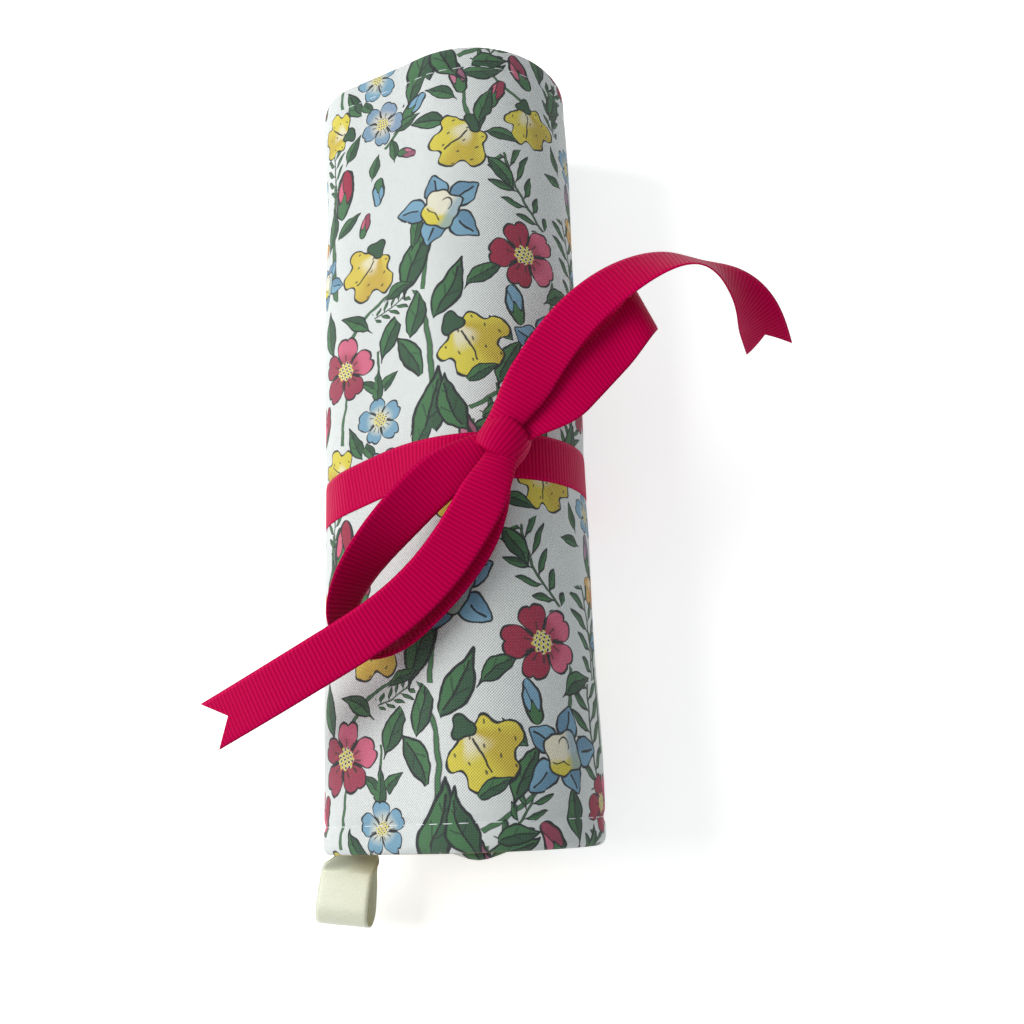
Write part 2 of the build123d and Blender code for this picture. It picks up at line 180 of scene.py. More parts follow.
class Graph:
    """Short ways to add nodes to one node tree."""

    def __init__(self, tree: bpy.types.NodeTree) -> None:
        """Takes the tree that the nodes go into."""
        self.tree = tree

    def add(self, kind: str, **settings: Any) -> bpy.types.Node:
        """Adds a node.

        Args:
            kind: the node's type, without its ShaderNode prefix.
            settings: properties set on it.

        Returns:
            The node.
        """
        node = self.tree.nodes.new("ShaderNode" + kind)
        for key, value in settings.items():
            setattr(node, key, value)
        return node

    def put(self, socket: bpy.types.NodeSocket, value: Any) -> None:
        """Links a signal to a socket, or sets the socket to a plain value."""
        if isinstance(value, Signal):
            self.tree.links.new(value.socket, socket)
        elif value is not None:
            socket.default_value = value

    def out(self, node: bpy.types.Node, key: Any = 0) -> Signal:
        """A node's output as a signal."""
        return Signal(self, node.outputs[key])

    def math(self, operation: str, a: Any, b: Any = None, c: Any = None, clamp: bool = False) -> Signal:
        """Adds a Math node.

        Args:
            operation: its operation.
            a, b, c: its inputs, as signals or numbers.
            clamp: keeps the result between 0 and 1.

        Returns:
            The result.
        """
        node = self.add("Math", operation=operation, use_clamp=clamp)
        for socket, value in zip(node.inputs, (a, b, c)):
            self.put(socket, value)
        return self.out(node)

    def vector(self, operation: str, a: Any, b: Any = None, c: Any = None, scale: Any = None) -> Signal:
        """Adds a Vector Math node.

        Args:
            operation: its operation.
            a, b, c: its vectors.
            scale: the factor that SCALE uses.

        Returns:
            The result, a number for LENGTH and DISTANCE.
        """
        node = self.add("VectorMath", operation=operation)
        for socket, value in zip(node.inputs, (a, b, c)):
            self.put(socket, value)
        if scale is not None:
            self.put(node.inputs["Scale"], scale)
        return self.out(node, "Value" if operation in ("LENGTH", "DISTANCE") else "Vector")

    def split(self, vector: Signal) -> tuple[Signal, Signal]:
        """The first two parts of a vector."""
        node = self.add("SeparateXYZ")
        self.put(node.inputs[0], vector)
        return self.out(node, 0), self.out(node, 1)

    def join(self, x: Any, y: Any, z: Any = 0.0) -> Signal:
        """A vector from its parts."""
        node = self.add("CombineXYZ")
        for socket, value in zip(node.inputs, (x, y, z)):
            self.put(socket, value)
        return self.out(node)

    def mix(self, share: Any, a: Any, b: Any, kind: str = "RGBA", blend: str = "MIX") -> Signal:
        """Adds a Mix node.

        Args:
            share: how much of b.
            a, b: what is mixed.
            kind: RGBA, VECTOR or FLOAT.
            blend: the blend type of colours.

        Returns:
            The mixture.
        """
        node = self.add("Mix", data_type=kind)
        if kind == "RGBA":
            node.blend_type = blend
        first = {"FLOAT": 2, "VECTOR": 4, "RGBA": 6}[kind]
        self.put(node.inputs[0], share)
        self.put(node.inputs[first], a)
        self.put(node.inputs[first + 1], b)
        return self.out(node, {"FLOAT": 0, "VECTOR": 1, "RGBA": 2}[kind])

    def curve(self, value: Signal, points: Sequence[tuple[float, float]]) -> Signal:
        """Adds a Float Curve through given points.

        Args:
            value: where on the curve, 0 to 1.
            points: the curve's points.

        Returns:
            The curve's height there.
        """
        node = self.add("FloatCurve")
        line = node.mapping.curves[0]
        for place in points[1:-1]:
            line.points.new(*place)
        line.points[0].location = points[0]
        line.points[len(points) - 1].location = points[-1]
        node.mapping.update()
        self.put(node.inputs["Value"], value)
        return self.out(node)

    def noise(self, vector: Any, scale: float, detail: float = 2.0, rough: float = 0.5) -> bpy.types.Node:
        """Adds a Noise Texture and returns the node, for its Fac and Color."""
        node = self.add("TexNoise")
        self.put(node.inputs["Vector"], vector)
        node.inputs["Scale"].default_value = scale
        node.inputs["Detail"].default_value = detail
        node.inputs["Roughness"].default_value = rough
        return node


SOCKETS = {"value": "NodeSocketFloat", "vector": "NodeSocketVector", "colour": "NodeSocketColor"}


class Effect:
    """A node group with named inputs and outputs, built once and placed in many materials."""

    def __init__(self, name: str, inputs: dict[str, str], outputs: dict[str, str]) -> None:
        """Makes the empty group.

        Args:
            name: the group's name.
            inputs, outputs: socket names, each with a key of SOCKETS.
        """
        self.tree = bpy.data.node_groups.new(name, "ShaderNodeTree")
        for key, kind in inputs.items():
            self.tree.interface.new_socket(key, in_out="INPUT", socket_type=SOCKETS[kind])
        for key, kind in outputs.items():
            self.tree.interface.new_socket(key, in_out="OUTPUT", socket_type=SOCKETS[kind])
        self.graph = Graph(self.tree)
        self.source = self.tree.nodes.new("NodeGroupInput")

    def __getitem__(self, key: str) -> Signal:
        """One of the group's inputs."""
        return Signal(self.graph, self.source.outputs[key])

    def close(self, **results: Signal) -> None:
        """Links the results to the group's outputs."""
        sink = self.tree.nodes.new("NodeGroupOutput")
        for key, value in results.items():
            self.graph.put(sink.inputs[key], value)

    def use(self, graph: Graph, **values: Any) -> bpy.types.Node:
        """Places the group in another tree.

        Args:
            graph: the tree.
            values: what goes into its inputs.

        Returns:
            The group's node.
        """
        node = graph.add("Group", node_tree=self.tree)
        for key, value in values.items():
            graph.put(node.inputs[key], value)
        return node


# ---- the printed flowers ---------------------------------------------------------------------------


class Ink:
    """Colours of the print."""

    GROUND = linear(208, 213, 212)
    LINE = linear(6, 10, 10)
    CRIMSON = linear(150, 12, 54)
    PINK = linear(204, 88, 118)
    YELLOW = linear(208, 194, 60)
    GOLD = linear(190, 168, 44)
    BLUE = linear(112, 156, 182)
    DEEP_BLUE = linear(76, 118, 148)
    CREAM = linear(222, 218, 196)
    GREEN = linear(56, 106, 60)
    DEEP_GREEN = linear(38, 76, 46)


class Motif(Enum):
    """The drawings of the print."""

    BLOSSOM = "blossom"
    STAR = "star"
    BELL = "bell"
    BUD = "bud"
    LEAF = "leaf"
    SPRIG = "sprig"
    STALK = "stalk"


# The print's layers, lowest first. Each place on the repeat: across and along the roll in mm, turn in
# degrees, size in mm, tint.
LAYERS: tuple[tuple[Motif, tuple[tuple[float, float, float, float, float], ...]], ...] = (
    (Motif.STALK, (
        (-5.0, 45.0, 75, 13.0, 0.5), (-9.6, 22.0, 100, 16.0, -0.5), (5.6, 90.0, 96, 10.0, 0.3),
        (12.0, 8.0, 40, 12.0, -0.6), (-38.5, 58.0, 92, 19.0, 0.2), (-26.5, 30.0, 40, 11.0, 0.6),
        (26.0, 29.0, 75, 12.0, -0.4), (40.5, 33.0, 96, 16.0, -0.3), (-22.8, 14.0, 92, 9.0, 0.2),
        (15.5, 95.5, 140, 9.0, 0.5), (-15.0, 88.0, 50, 9.0, -0.4), (-34.0, 6.0, 80, 9.0, 0.3),
    )),
    (Motif.SPRIG, (
        (20.4, 62.6, 118, 11.5, 0.6), (36.6, 47.2, 100, 12.0, -0.5), (37.0, 22.0, 96, 13.0, 0.3),
        (-38.6, 79.5, 94, 8.0, 0.3), (-19.0, 33.0, 25, 6.0, -0.4), (12.6, 5.4, 60, 8.6, -0.6),
        (34.0, 93.0, 80, 9.0, 0.4),
    )),
    (Motif.LEAF, (
        (-9.6, 43.0, 62, 10.8, 0.6), (8.6, 36.8, 35, 6.8, 0.5), (-9.5, 1.5, 66, 12.4, -0.7),
        (-13.8, 17.0, -58, 8.6, 0.6), (-30.6, 30.4, 150, 6.2, -0.5), (14.6, 12.4, 62, 8.0, 0.6),
        (9.6, -2.6, 12, 7.4, -0.8), (13.4, 67.0, -52, 6.4, 0.4), (-5.6, 84.0, 168, 6.4, -0.4),
        (-9.4, 97.0, 58, 6.6, 0.4), (-23.8, 76.6, 70, 4.2, 0.3), (-33.6, 61.0, 35, 5.6, 0.3),
        (31.0, 33.4, 25, 6.4, 0.6), (32.4, 76.2, 108, 4.4, 0.3), (-30.0, -3.4, 120, 6.0, 0.4),
        (34.5, -8.0, 80, 7.8, 0.6), (-41.5, 62.5, 75, 7.4, -0.6), (12.6, 22.0, 130, 5.0, 0.2),
        (27.8, 3.4, 100, 7.0, 0.4), (-26.2, 96.8, 130, 4.4, 0.4),
    )),
    (Motif.BELL, (
        (3.4, 19.5, -42, 11.6, 0.0), (-25.5, 46.5, -112, 10.6, 0.1), (3.8, 78.0, -125, 10.6, 0.0),
        (22.5, 84.5, -70, 9.2, 0.0), (-36.5, 92.0, 160, 8.2, 0.0), (42.5, 60.0, -80, 6.4, 0.4),
    )),
    (Motif.BUD, (
        (3.2, 96.0, 100, 5.0, 0.25), (20.6, 99.4, 120, 5.6, 0.1), (-35.0, 72.0, 80, 7.4, 0.0),
        (-13.4, 77.5, -15, 3.4, 0.2), (-10.6, 91.2, 35, 4.8, 1.0), (-22.8, 68.4, -95, 4.6, 1.0),
        (40.0, 68.0, 100, 5.0, 0.5), (-27.5, 59.5, 70, 3.6, 0.1), (16.6, 29.4, 102, 5.6, 1.0),
        (13.4, 91.0, 60, 5.0, 0.05), (-44.0, 5.0, 70, 5.4, 0.0),
    )),
    (Motif.LEAF, (
        (-2.6, 33.6, 58, 10.2, -0.5), (1.0, 2.0, 114, 9.6, 0.9), (-18.8, 24.4, 62, 7.8, 0.4),
        (-11.8, 29.0, 74, 8.4, -0.4), (10.4, 86.5, 70, 6.8, 0.5), (11.2, 101.0, 10, 6.2, 0.3),
        (-18.0, 79.6, 95, 4.0, -0.2), (31.2, 69.4, 170, 4.2, -0.3), (-23.5, 10.6, 88, 5.4, 0.2),
        (-13.2, 86.4, 20, 4.8, 0.3), (-10.8, 52.4, 80, 5.8, -0.5), (33.0, 96.0, 75, 7.4, -0.5),
        (-40.0, 30.6, 100, 7.6, 0.5), (-31.5, 84.6, 60, 5.0, 0.3), (-16.4, 36.6, 20, 5.0, 0.4),
        (6.6, 9.6, 30, 5.6, 0.3), (-26.0, 11.4, 140, 4.6, -0.3), (-20.4, 11.8, 40, 4.6, 0.3),
        (14.5, 78.0, -12, 5.2, 0.5), (-2.0, 92.0, 150, 5.4, -0.4),
    )),
    (Motif.STAR, (
        (-2.6, 57.0, 8, 13.4, 0.0), (24.5, 17.5, 55, 12.8, 0.3), (-43.5, 47.0, 30, 9.0, 0.1),
    )),
    (Motif.BLOSSOM, (
        (19.9, 43.7, 20, 10.2, 0.0), (-34.5, 18.5, 65, 9.6, 0.05), (-22.8, 2.0, 10, 6.8, 1.0),
        (-21.5, 89.5, 40, 7.0, 0.9), (41.0, 78.5, 5, 6.0, 1.0), (40.5, 6.0, 30, 7.8, 0.0),
    )),
)


@dataclass
class FloralPrint:
    """The cotton's printed pattern, drawn with nodes in millimetres on the cloth.

    One repeat holds every motif of LAYERS. For each drawing the nearest of its places is found first,
    and the drawing is made once, in that place's own turned and scaled coordinates.
    """

    repeat: tuple[float, float] = (92.0, 102.0)
    wobble: float = 0.55

    def nearer(self) -> Effect:
        """Group that compares one more place of a motif with the nearest so far.

        The cloth's coordinate is wrapped to the repeat round the place, turned back by the motif's angle
        and divided by its size; the smaller distance wins.
        """
        made = Effect(
            "NearerPlace",
            {"Cloth": "vector", "Centre": "vector", "Turn": "value", "Shrink": "value", "Tint": "value",
             "Local": "vector", "Distance": "value", "Shade": "value"},
            {"Local": "vector", "Distance": "value", "Shade": "value"})
        g = made.graph
        half = tuple(r / 2 for r in self.repeat)
        offset = g.vector("SUBTRACT", made["Cloth"], made["Centre"])
        wrapped = g.vector("WRAP", offset, (half[0], half[1], 1.0), (-half[0], -half[1], -1.0))
        spin = g.add("VectorRotate", rotation_type="Z_AXIS")
        g.put(spin.inputs["Vector"], wrapped)
        g.put(spin.inputs["Angle"], made["Turn"])
        local = g.vector("SCALE", g.out(spin), scale=made["Shrink"])
        distance = g.vector("LENGTH", local)
        closer = g.math("LESS_THAN", distance, made["Distance"])
        made.close(
            Local=g.mix(closer, made["Local"], local, "VECTOR"),
            Distance=distance.least(made["Distance"]),
            Shade=g.mix(closer, made["Shade"], made["Tint"], "FLOAT"))
        return made

    @staticmethod
    def drawing(name: str) -> Effect:
        """An empty drawing: local coordinates, a tint and the colour under it go in, a colour comes out."""
        return Effect(name, {"Local": "vector", "Shade": "value", "Under": "colour"}, {"Color": "colour"})

    @staticmethod
    def around(g: Graph, local: Signal) -> tuple[Signal, Signal, Signal, Signal]:
        """Across, up, distance and angle in turns of a local place."""
        x, y = g.split(local)
        return x, y, g.vector("LENGTH", local), g.math("ARCTAN2", y, x) * (1 / TURN)

    def blossom(self) -> Effect:
        """Open flower: five notched petals in two shades, dark gaps between them and a speckled eye."""
        made = self.drawing("Blossom")
        g = made.graph
        x, y, reach, turn = self.around(g, made["Local"])
        around = turn * 5 + 0.25
        petal = around.floor()
        side = (around - petal - 0.5).abs() * 2
        edge = reach - g.curve(side, [(0, .90), (.16, .97), (.5, .93), (.8, .78), (1, .58)])
        edge = edge - (petal * 4.1).sin() * 0.05
        gap = (1 - side) * reach * 0.6 + (0.3 - reach).most(0) * 4
        pale = (petal * (TURN / 5) + 0.5).cos().above(0.1)
        dark = g.mix(made["Shade"], Ink.CRIMSON, Ink.BLUE)
        light = g.mix(made["Shade"], Ink.PINK, Ink.BLUE)
        petals = g.mix(pale, dark, light)
        blush = reach.below(0.52, 0.3) * 0.7
        petals = g.mix(blush, petals, g.mix(made["Shade"], Ink.CRIMSON, Ink.CREAM))
        vein = (around * 14).sin().above(0.75, 0.2) * reach.above(0.3) * reach.below(0.5, 0.06)
        petals = g.mix(vein * 0.7, petals, Ink.LINE)
        eye = reach - 0.27 - (turn * (TURN * 9)).sin() * 0.03
        speck = (x * 42).sin() * (y * 36).sin()
        heart = g.mix(speck.above(0.05, 0.2), Ink.CREAM, Ink.YELLOW)
        heart = g.mix(speck.below(-0.42, 0.15), heart, Ink.LINE)
        petals = g.mix(eye.below(0), petals, heart)
        line = edge.abs().least(gap).below(0.044, 0.024)
        petals = g.mix(line, petals, Ink.LINE)
        made.close(Color=g.mix(edge.below(0.02), made["Under"], petals))
        return made

    def star(self) -> Effect:
        """Flower of five long pointed petals round a ruffled pale heart."""
        made = self.drawing("Star")
        g = made.graph
        x, y, reach, turn = self.around(g, made["Local"])
        around = turn * 5 + 0.2
        petal = around.floor()
        across = around - petal - 0.5
        stretched = reach * (1.1 + (petal * 2.3).sin() * 0.14)
        width = g.curve(stretched, [(0, 0), (.3, .09), (.5, .26), (.66, .27), (.85, .13), (1, 0)])
        lateral = across.abs() * reach * (TURN / 5)
        edge = lateral - width + stretched.above(1.0) * 0.2
        shade = across.above(0.02, 0.12) * 0.6
        petals = g.mix(shade, Ink.BLUE, Ink.DEEP_BLUE)
        rib = lateral.below(0.020, 0.014) * stretched.above(0.5) * stretched.below(0.86)
        outline = edge.abs().below(0.034, 0.018)
        petals = g.mix(rib.most(outline), petals, Ink.LINE)
        under = g.mix(edge.below(0.016), made["Under"], petals)
        ruffle = reach - 0.42 - (turn * (TURN * 4) + 1).sin() * 0.045 - (turn * (TURN * 7)).sin() * 0.02
        gold = (x * 0.8 + y).below(-0.1, 0.2) * reach.above(0.12, 0.1)
        heart = g.mix(gold, Ink.CREAM, Ink.YELLOW)
        cool = (x - y).above(0.2, 0.2) * 0.7
        heart = g.mix(cool, heart, Ink.BLUE)
        fold = (reach - 0.22 - (turn * (TURN * 3)).sin() * 0.08).abs().below(0.018, 0.02)
        fold = fold * (turn * (TURN * 2) + 0.8).sin().above(0.0, 0.2)
        heart = g.mix(fold.most(ruffle.abs().below(0.032, 0.018)), heart, Ink.LINE)
        made.close(Color=g.mix(ruffle.below(0.012), under, heart))
        return made

    def bell(self) -> Effect:
        """Drooping flower seen from the side: a lobed skirt that opens along X from a green cap."""
        made = self.drawing("Bell")
        g = made.graph
        x, y, reach, turn = self.around(g, made["Local"])
        rim = g.curve(turn + 0.5, [
            (0, .50), (.07, .44), (.15, .62), (.22, .80), (.27, .62), (.33, .86), (.38, .92), (.43, .70),
            (.48, .96), (.54, .92), (.59, .72), (.65, .98), (.72, .84), (.77, .60), (.84, .64), (.92, .44),
            (1, .50)])
        edge = reach - rim
        base = g.vector("SUBTRACT", made["Local"], (-0.5, 0.05, 0.0))
        bx, by = g.split(base)
        fan = g.math("ARCTAN2", by, bx)
        spread = g.vector("LENGTH", base)
        petals = g.mix((fan * 3 + 0.7).sin().above(0.3, 0.8), Ink.YELLOW, Ink.GOLD)
        petals = g.mix(made["Shade"], petals, Ink.PINK)
        wash = (spread.below(0.62, 0.3) * (fan + 0.2).abs().below(0.5, 0.3)) * 0.8
        petals = g.mix(wash, petals, Ink.CREAM)
        crease = ((fan * 1.9 + spread * 0.5).sin() * 0.5).abs() * spread
        crease = crease.below(0.02, 0.02) * spread.above(0.3) * (reach - rim).below(-0.12)
        tick = ((x * 9 + 0.7).sin() * (y * 14 + x * 6).sin()).above(0.93, 0.05) * 0.8
        line = crease.most(edge.abs().below(0.040, 0.022)).most(tick)
        petals = g.mix(line, petals, Ink.LINE)
        under = g.mix(edge.below(0.02), made["Under"], petals)
        cap = spread - 0.24 - (fan * 3).sin() * 0.05
        green = g.mix(cap.abs().below(0.03, 0.03), Ink.DEEP_GREEN, Ink.LINE)
        made.close(Color=g.mix(cap.below(0.02), under, green))
        return made

    def bud(self) -> Effect:
        """Closed bud along X, in two shades, held by green sepals."""
        made = self.drawing("Bud")
        g = made.graph
        x, y, _, _ = self.around(g, made["Local"])
        along = x * 0.5 + 0.5
        width = g.curve(along, [(0, 0), (.12, .30), (.3, .40), (.6, .44), (.8, .30), (.92, .22), (1, 0)])
        edge = y.abs() - width
        dark = g.mix(made["Shade"], Ink.CRIMSON, Ink.BLUE)
        light = g.mix(made["Shade"], Ink.PINK, Ink.BLUE)
        petals = g.mix((y - x * 0.25).above(0.04, 0.06), dark, light)
        sepal = x + 0.15 - (y * 13).cos() * 0.22
        petals = g.mix(sepal.below(0), petals, Ink.GREEN)
        split = (y - x * 0.25 - 0.04).abs().below(0.03, 0.04) * x.above(0.0)
        line = split.most(sepal.abs().below(0.06, 0.04)).most(edge.abs().below(0.08, 0.04))
        petals = g.mix(line, petals, Ink.LINE)
        inside = edge.below(0.04) * x.abs().below(1.0)
        made.close(Color=g.mix(inside, made["Under"], petals))
        return made

    def leaf(self) -> Effect:
        """Pointed leaf along X, bent to one side by its tint, with a darker half, a rib and a short stalk."""
        made = self.drawing("Leaf")
        g = made.graph
        x, y, _, _ = self.around(g, made["Local"])
        bent = y - (1 - x * x) * 0.28 * made["Shade"]
        width = g.curve(x * 0.5 + 0.5, [
            (0, 0), (.1, .03), (.25, .22), (.45, .36), (.68, .28), (.88, .1), (1, 0)])
        edge = bent.abs() - width
        blade = g.mix(bent.above(0, 0.05), Ink.DEEP_GREEN, Ink.GREEN)
        rib = bent.abs().below(0.026, 0.018) * x.below(0.72) * x.above(-0.6)
        vein = ((bent.abs() * 9 - x * 7) * 1.6).sin().above(0.93, 0.05) * edge.below(-0.1) * 0.6
        line = rib.most(edge.abs().below(0.050, 0.028)).most(vein)
        blade = g.mix(line, blade, Ink.LINE)
        inside = edge.below(0.024) * x.abs().below(1.0)
        made.close(Color=g.mix(inside, made["Under"], blade))
        return made

    def sprig(self) -> Effect:
        """Curved stalk along X with narrow leaves set alternately on its two sides."""
        made = self.drawing("Sprig")
        g = made.graph
        x, y, _, _ = self.around(g, made["Local"])
        bent = y - (1 - x * x) * 0.3 * made["Shade"]
        away = bent.abs()
        beat = (x + bent.above(0, 0.001) * 0.21 - away * 0.9) / 0.42
        node = beat.floor()
        off = (beat - node - 0.5).abs() * 0.42
        reach = away / (0.6 - (node * 0.42).abs() * 0.22)
        width = g.curve(reach, [(0, 0), (.15, .02), (.45, .115), (.7, .10), (1, 0)])
        edge = off - width + reach.above(1.0) * 0.2
        within = x.abs().below(0.98)
        blade = g.mix((beat - node).above(0.5), Ink.GREEN, Ink.DEEP_GREEN)
        blade = g.mix(edge.abs().below(0.030, 0.018), blade, Ink.LINE)
        under = g.mix(edge.below(0.012) * within, made["Under"], blade)
        stalk = away.below(0.034, 0.02) * within
        stem = g.mix(away.below(0.012, 0.012), Ink.LINE, Ink.GREEN)
        made.close(Color=g.mix(stalk, under, stem))
        return made

    def stalk(self) -> Effect:
        """Plain curved stalk along X, bent to one side by its tint, thicker at its foot."""
        made = self.drawing("Stalk")
        g = made.graph
        x, y, _, _ = self.around(g, made["Local"])
        away = (y - (1 - x * x) * 0.3 * made["Shade"]).abs() + x * 0.012
        within = x.abs().below(0.96)
        under = g.mix(away.below(0.050, 0.024) * within, made["Under"], Ink.LINE)
        made.close(Color=g.mix(away.below(0.030, 0.016) * within, under, Ink.GREEN))
        return made

    def build(self) -> Effect:
        """The whole print as one group: cloth coordinate in mm in, colour out."""
        nearer = self.nearer()
        drawings = {
            Motif.STALK: self.stalk(), Motif.SPRIG: self.sprig(), Motif.LEAF: self.leaf(),
            Motif.BUD: self.bud(), Motif.BELL: self.bell(), Motif.STAR: self.star(),
            Motif.BLOSSOM: self.blossom(),
        }
        made = Effect("FloralPrint", {"Cloth": "vector"}, {"Color": "colour"})
        g = made.graph
        shake = g.noise(made["Cloth"], 0.16, 2.0)
        offset = g.vector("SUBTRACT", g.out(shake, "Color"), (0.5, 0.5, 0.5))
        drawn = g.vector("ADD", made["Cloth"], g.vector("SCALE", offset, scale=self.wobble * 4))
        x, y = g.split(drawn)
        drawn = g.join(x, y)
        colour: Any = Ink.GROUND
        for motif, places in LAYERS:
            best: dict[str, Any] = {"Local": (9.0, 9.0, 0.0), "Distance": 9.0, "Shade": 0.0}
            for across, along, angle, size, tint in places:
                step = nearer.use(g, Cloth=drawn, Centre=(across, along, 0.0), Turn=-math.radians(angle),
                                  Shrink=1 / size, Tint=tint, **best)
                best = {key: g.out(step, key) for key in best}
            drawn_on = drawings[motif].use(g, Local=best["Local"], Shade=best["Shade"], Under=colour)
            colour = g.out(drawn_on)
        made.close(Color=colour)
        return made


# ---- finishes --------------------------------------------------------------------------------------


class Weaves:
    """Surface effects shared by the cloths, each built once."""

    def __init__(self) -> None:
        """Builds the groups."""
        self.plain = self.make_plain()
        self.ribbed = self.make_ribbed()
        self.fuzzy = self.make_fuzzy()

    @staticmethod
    def make_plain() -> Effect:
        """Plain weave: the product of two sines raises every other crossing, and threads differ a little."""
        made = Effect("PlainWeave", {"Cloth": "vector", "Threads": "value"},
                      {"Height": "value", "Shade": "value", "Tip": "value"})
        g = made.graph
        scaled = g.vector("SCALE", made["Cloth"], scale=made["Threads"])
        bend = g.noise(made["Cloth"], 0.35, 1.0)
        scaled = g.vector("ADD", scaled, g.vector("SCALE", g.out(bend, "Color"), scale=0.9))
        x, y = g.split(scaled)
        crossing = (x * math.pi).sin() * (y * math.pi).sin()
        slub = g.noise(g.vector("MULTIPLY", made["Cloth"], (0.25, 2.6, 1.0)), 1.0, 2.0)
        slub_across = g.noise(g.vector("MULTIPLY", made["Cloth"], (2.6, 0.25, 1.0)), 1.0, 2.0)
        threads = g.out(slub) + g.out(slub_across)
        made.close(Height=crossing * 0.5 + threads * 0.25, Shade=threads * 0.5,
                   Tip=crossing.abs().above(0.55, 0.5))
        return made

    @staticmethod
    def make_ribbed() -> Effect:
        """Grosgrain: fine warp threads between the ribs, and small loops along both selvedges."""
        made = Effect("RibbonThreads", {"Ribbon": "vector", "Half": "value", "Ribs": "value"},
                      {"Height": "value", "Rib": "value", "Edge": "value"})
        g = made.graph
        across, along = g.split(made["Ribbon"])
        rib = (along * made["Ribs"] * math.pi).sin().abs()
        warp = (across * 16).sin() * 0.12
        rim = made["Half"] - across.abs()
        edge = rim.below(0.75, 0.3) * rim.above(0.25, 0.2)
        loops = edge * (along * made["Ribs"] * TURN).sin().above(0.1, 0.6)
        made.close(Height=rib.power(0.7) + warp + loops * 0.4, Rib=rib, Edge=loops)
        return made

    @staticmethod
    def make_fuzzy() -> Effect:
        """Matted fibres: two scales of noise."""
        made = Effect("MattedFibre", {"Cloth": "vector"}, {"Height": "value", "Shade": "value"})
        g = made.graph
        fine = g.noise(made["Cloth"], 2.6, 5.0, 0.7)
        broad = g.noise(made["Cloth"], 0.3, 3.0)
        made.close(Height=g.out(fine), Shade=g.out(fine) * 0.6 + g.out(broad) * 0.4)
        return made


def new_material(name: str) -> tuple[bpy.types.Material, Graph, bpy.types.Node]:
    """A material with its tree emptied down to one Principled shader.

    Args:
        name: the material's name.

    Returns:
        The material, its graph and the shader node.
    """
    material = bpy.data.materials.new(name)
    material.use_nodes = True
    material.node_tree.nodes.clear()
    graph = Graph(material.node_tree)
    shader = graph.add("BsdfPrincipled")
    sink = graph.add("OutputMaterial")
    graph.tree.links.new(shader.outputs[0], sink.inputs["Surface"])
    return material, graph, shader


def set_bump(graph: Graph, shader: bpy.types.Node, height: Signal, distance: float, strength: float) -> None:
    """Feeds a height through a Bump node into the shader's normal."""
    bump = graph.add("Bump")
    bump.inputs["Strength"].default_value = strength
    bump.inputs["Distance"].default_value = distance
    graph.put(bump.inputs["Height"], height)
    graph.put(shader.inputs["Normal"], graph.out(bump))


def set_gloss(shader: bpy.types.Node, specular: float, sheen: float) -> None:
    """Sets how much the surface reflects and how much soft down it shows."""
    shader.inputs["Specular IOR Level"].default_value = specular
    shader.inputs["Sheen Weight"].default_value = sheen


def cloth_millimetres(graph: Graph, own_map: bool) -> Signal:
    """Coordinate on the cloth in mm: from the piece's Cloth map, or from its place in the frame."""
    if own_map:
        node = graph.add("UVMap", uv_map="Cloth")
        return graph.vector("SCALE", graph.out(node), scale=1 / MM)
    node = graph.add("TexCoord")
    return graph.vector("SCALE", graph.out(node, "Object"), scale=1 / MM)


@dataclass(frozen=True)
class PrintedCotton:
    """Floral plain-weave cotton."""

    threads_per_mm: float = 2.85
    roughness: float = 0.86

    def make(self, weaves: Weaves, floral: Effect) -> bpy.types.Material:
        """Builds the material from the print and the weave."""
        material, g, shader = new_material("printed_cotton")
        cloth = cloth_millimetres(g, True)
        printed = g.out(floral.use(g, Cloth=cloth))
        weave = weaves.plain.use(g, Cloth=cloth, Threads=self.threads_per_mm)
        tip = g.out(weave, "Tip")
        shade = g.out(weave, "Shade")
        worn = g.mix(tip.power(2) * 0.10, printed, Ink.GROUND)
        dulled = g.mix((shade - 0.25) * 0.32, worn, linear(120, 128, 136))
        g.put(shader.inputs["Base Color"], dulled)
        g.put(shader.inputs["Roughness"], shade * 0.2 + (self.roughness - 0.1))
        set_gloss(shader, specular=0.25, sheen=0.12)
        set_bump(g, shader, g.out(weave, "Height"), distance=0.00026, strength=0.75)
        return material


@dataclass(frozen=True)
class PlainCotton:
    """Single-coloured plain-weave cotton."""

    name: str
    colour: tuple[float, float, float, float]
    deep: tuple[float, float, float, float]
    threads_per_mm: float = 2.6

    def make(self, weaves: Weaves, own_map: bool = True) -> bpy.types.Material:
        """Builds the material from the weave."""
        material, g, shader = new_material(self.name)
        cloth = cloth_millimetres(g, own_map)
        weave = weaves.plain.use(g, Cloth=cloth, Threads=self.threads_per_mm)
        g.put(shader.inputs["Base Color"], g.mix(g.out(weave, "Shade"), self.deep, self.colour))
        g.put(shader.inputs["Roughness"], g.out(weave, "Tip") * 0.1 + 0.8)
        set_gloss(shader, specular=0.25, sheen=0.1)
        set_bump(g, shader, g.out(weave, "Height"), distance=0.00025, strength=0.5)
        return material


@dataclass(frozen=True)
class Fibre:
    """Felt, wadding or stuffing: matted fibre without threads."""

    name: str
    colour: tuple[float, float, float, float]
    deep: tuple[float, float, float, float]

    def make(self, weaves: Weaves) -> bpy.types.Material:
        """Builds the material from the matted fibres."""
        material, g, shader = new_material(self.name)
        cloth = cloth_millimetres(g, False)
        felt = weaves.fuzzy.use(g, Cloth=cloth)
        g.put(shader.inputs["Base Color"], g.mix(g.out(felt, "Shade"), self.deep, self.colour))
        g.put(shader.inputs["Roughness"], g.out(felt, "Height") * 0.1 + 0.86)
        set_gloss(shader, specular=0.1, sheen=0.3)
        set_bump(g, shader, g.out(felt, "Height"), distance=0.0004, strength=0.6)
        return material


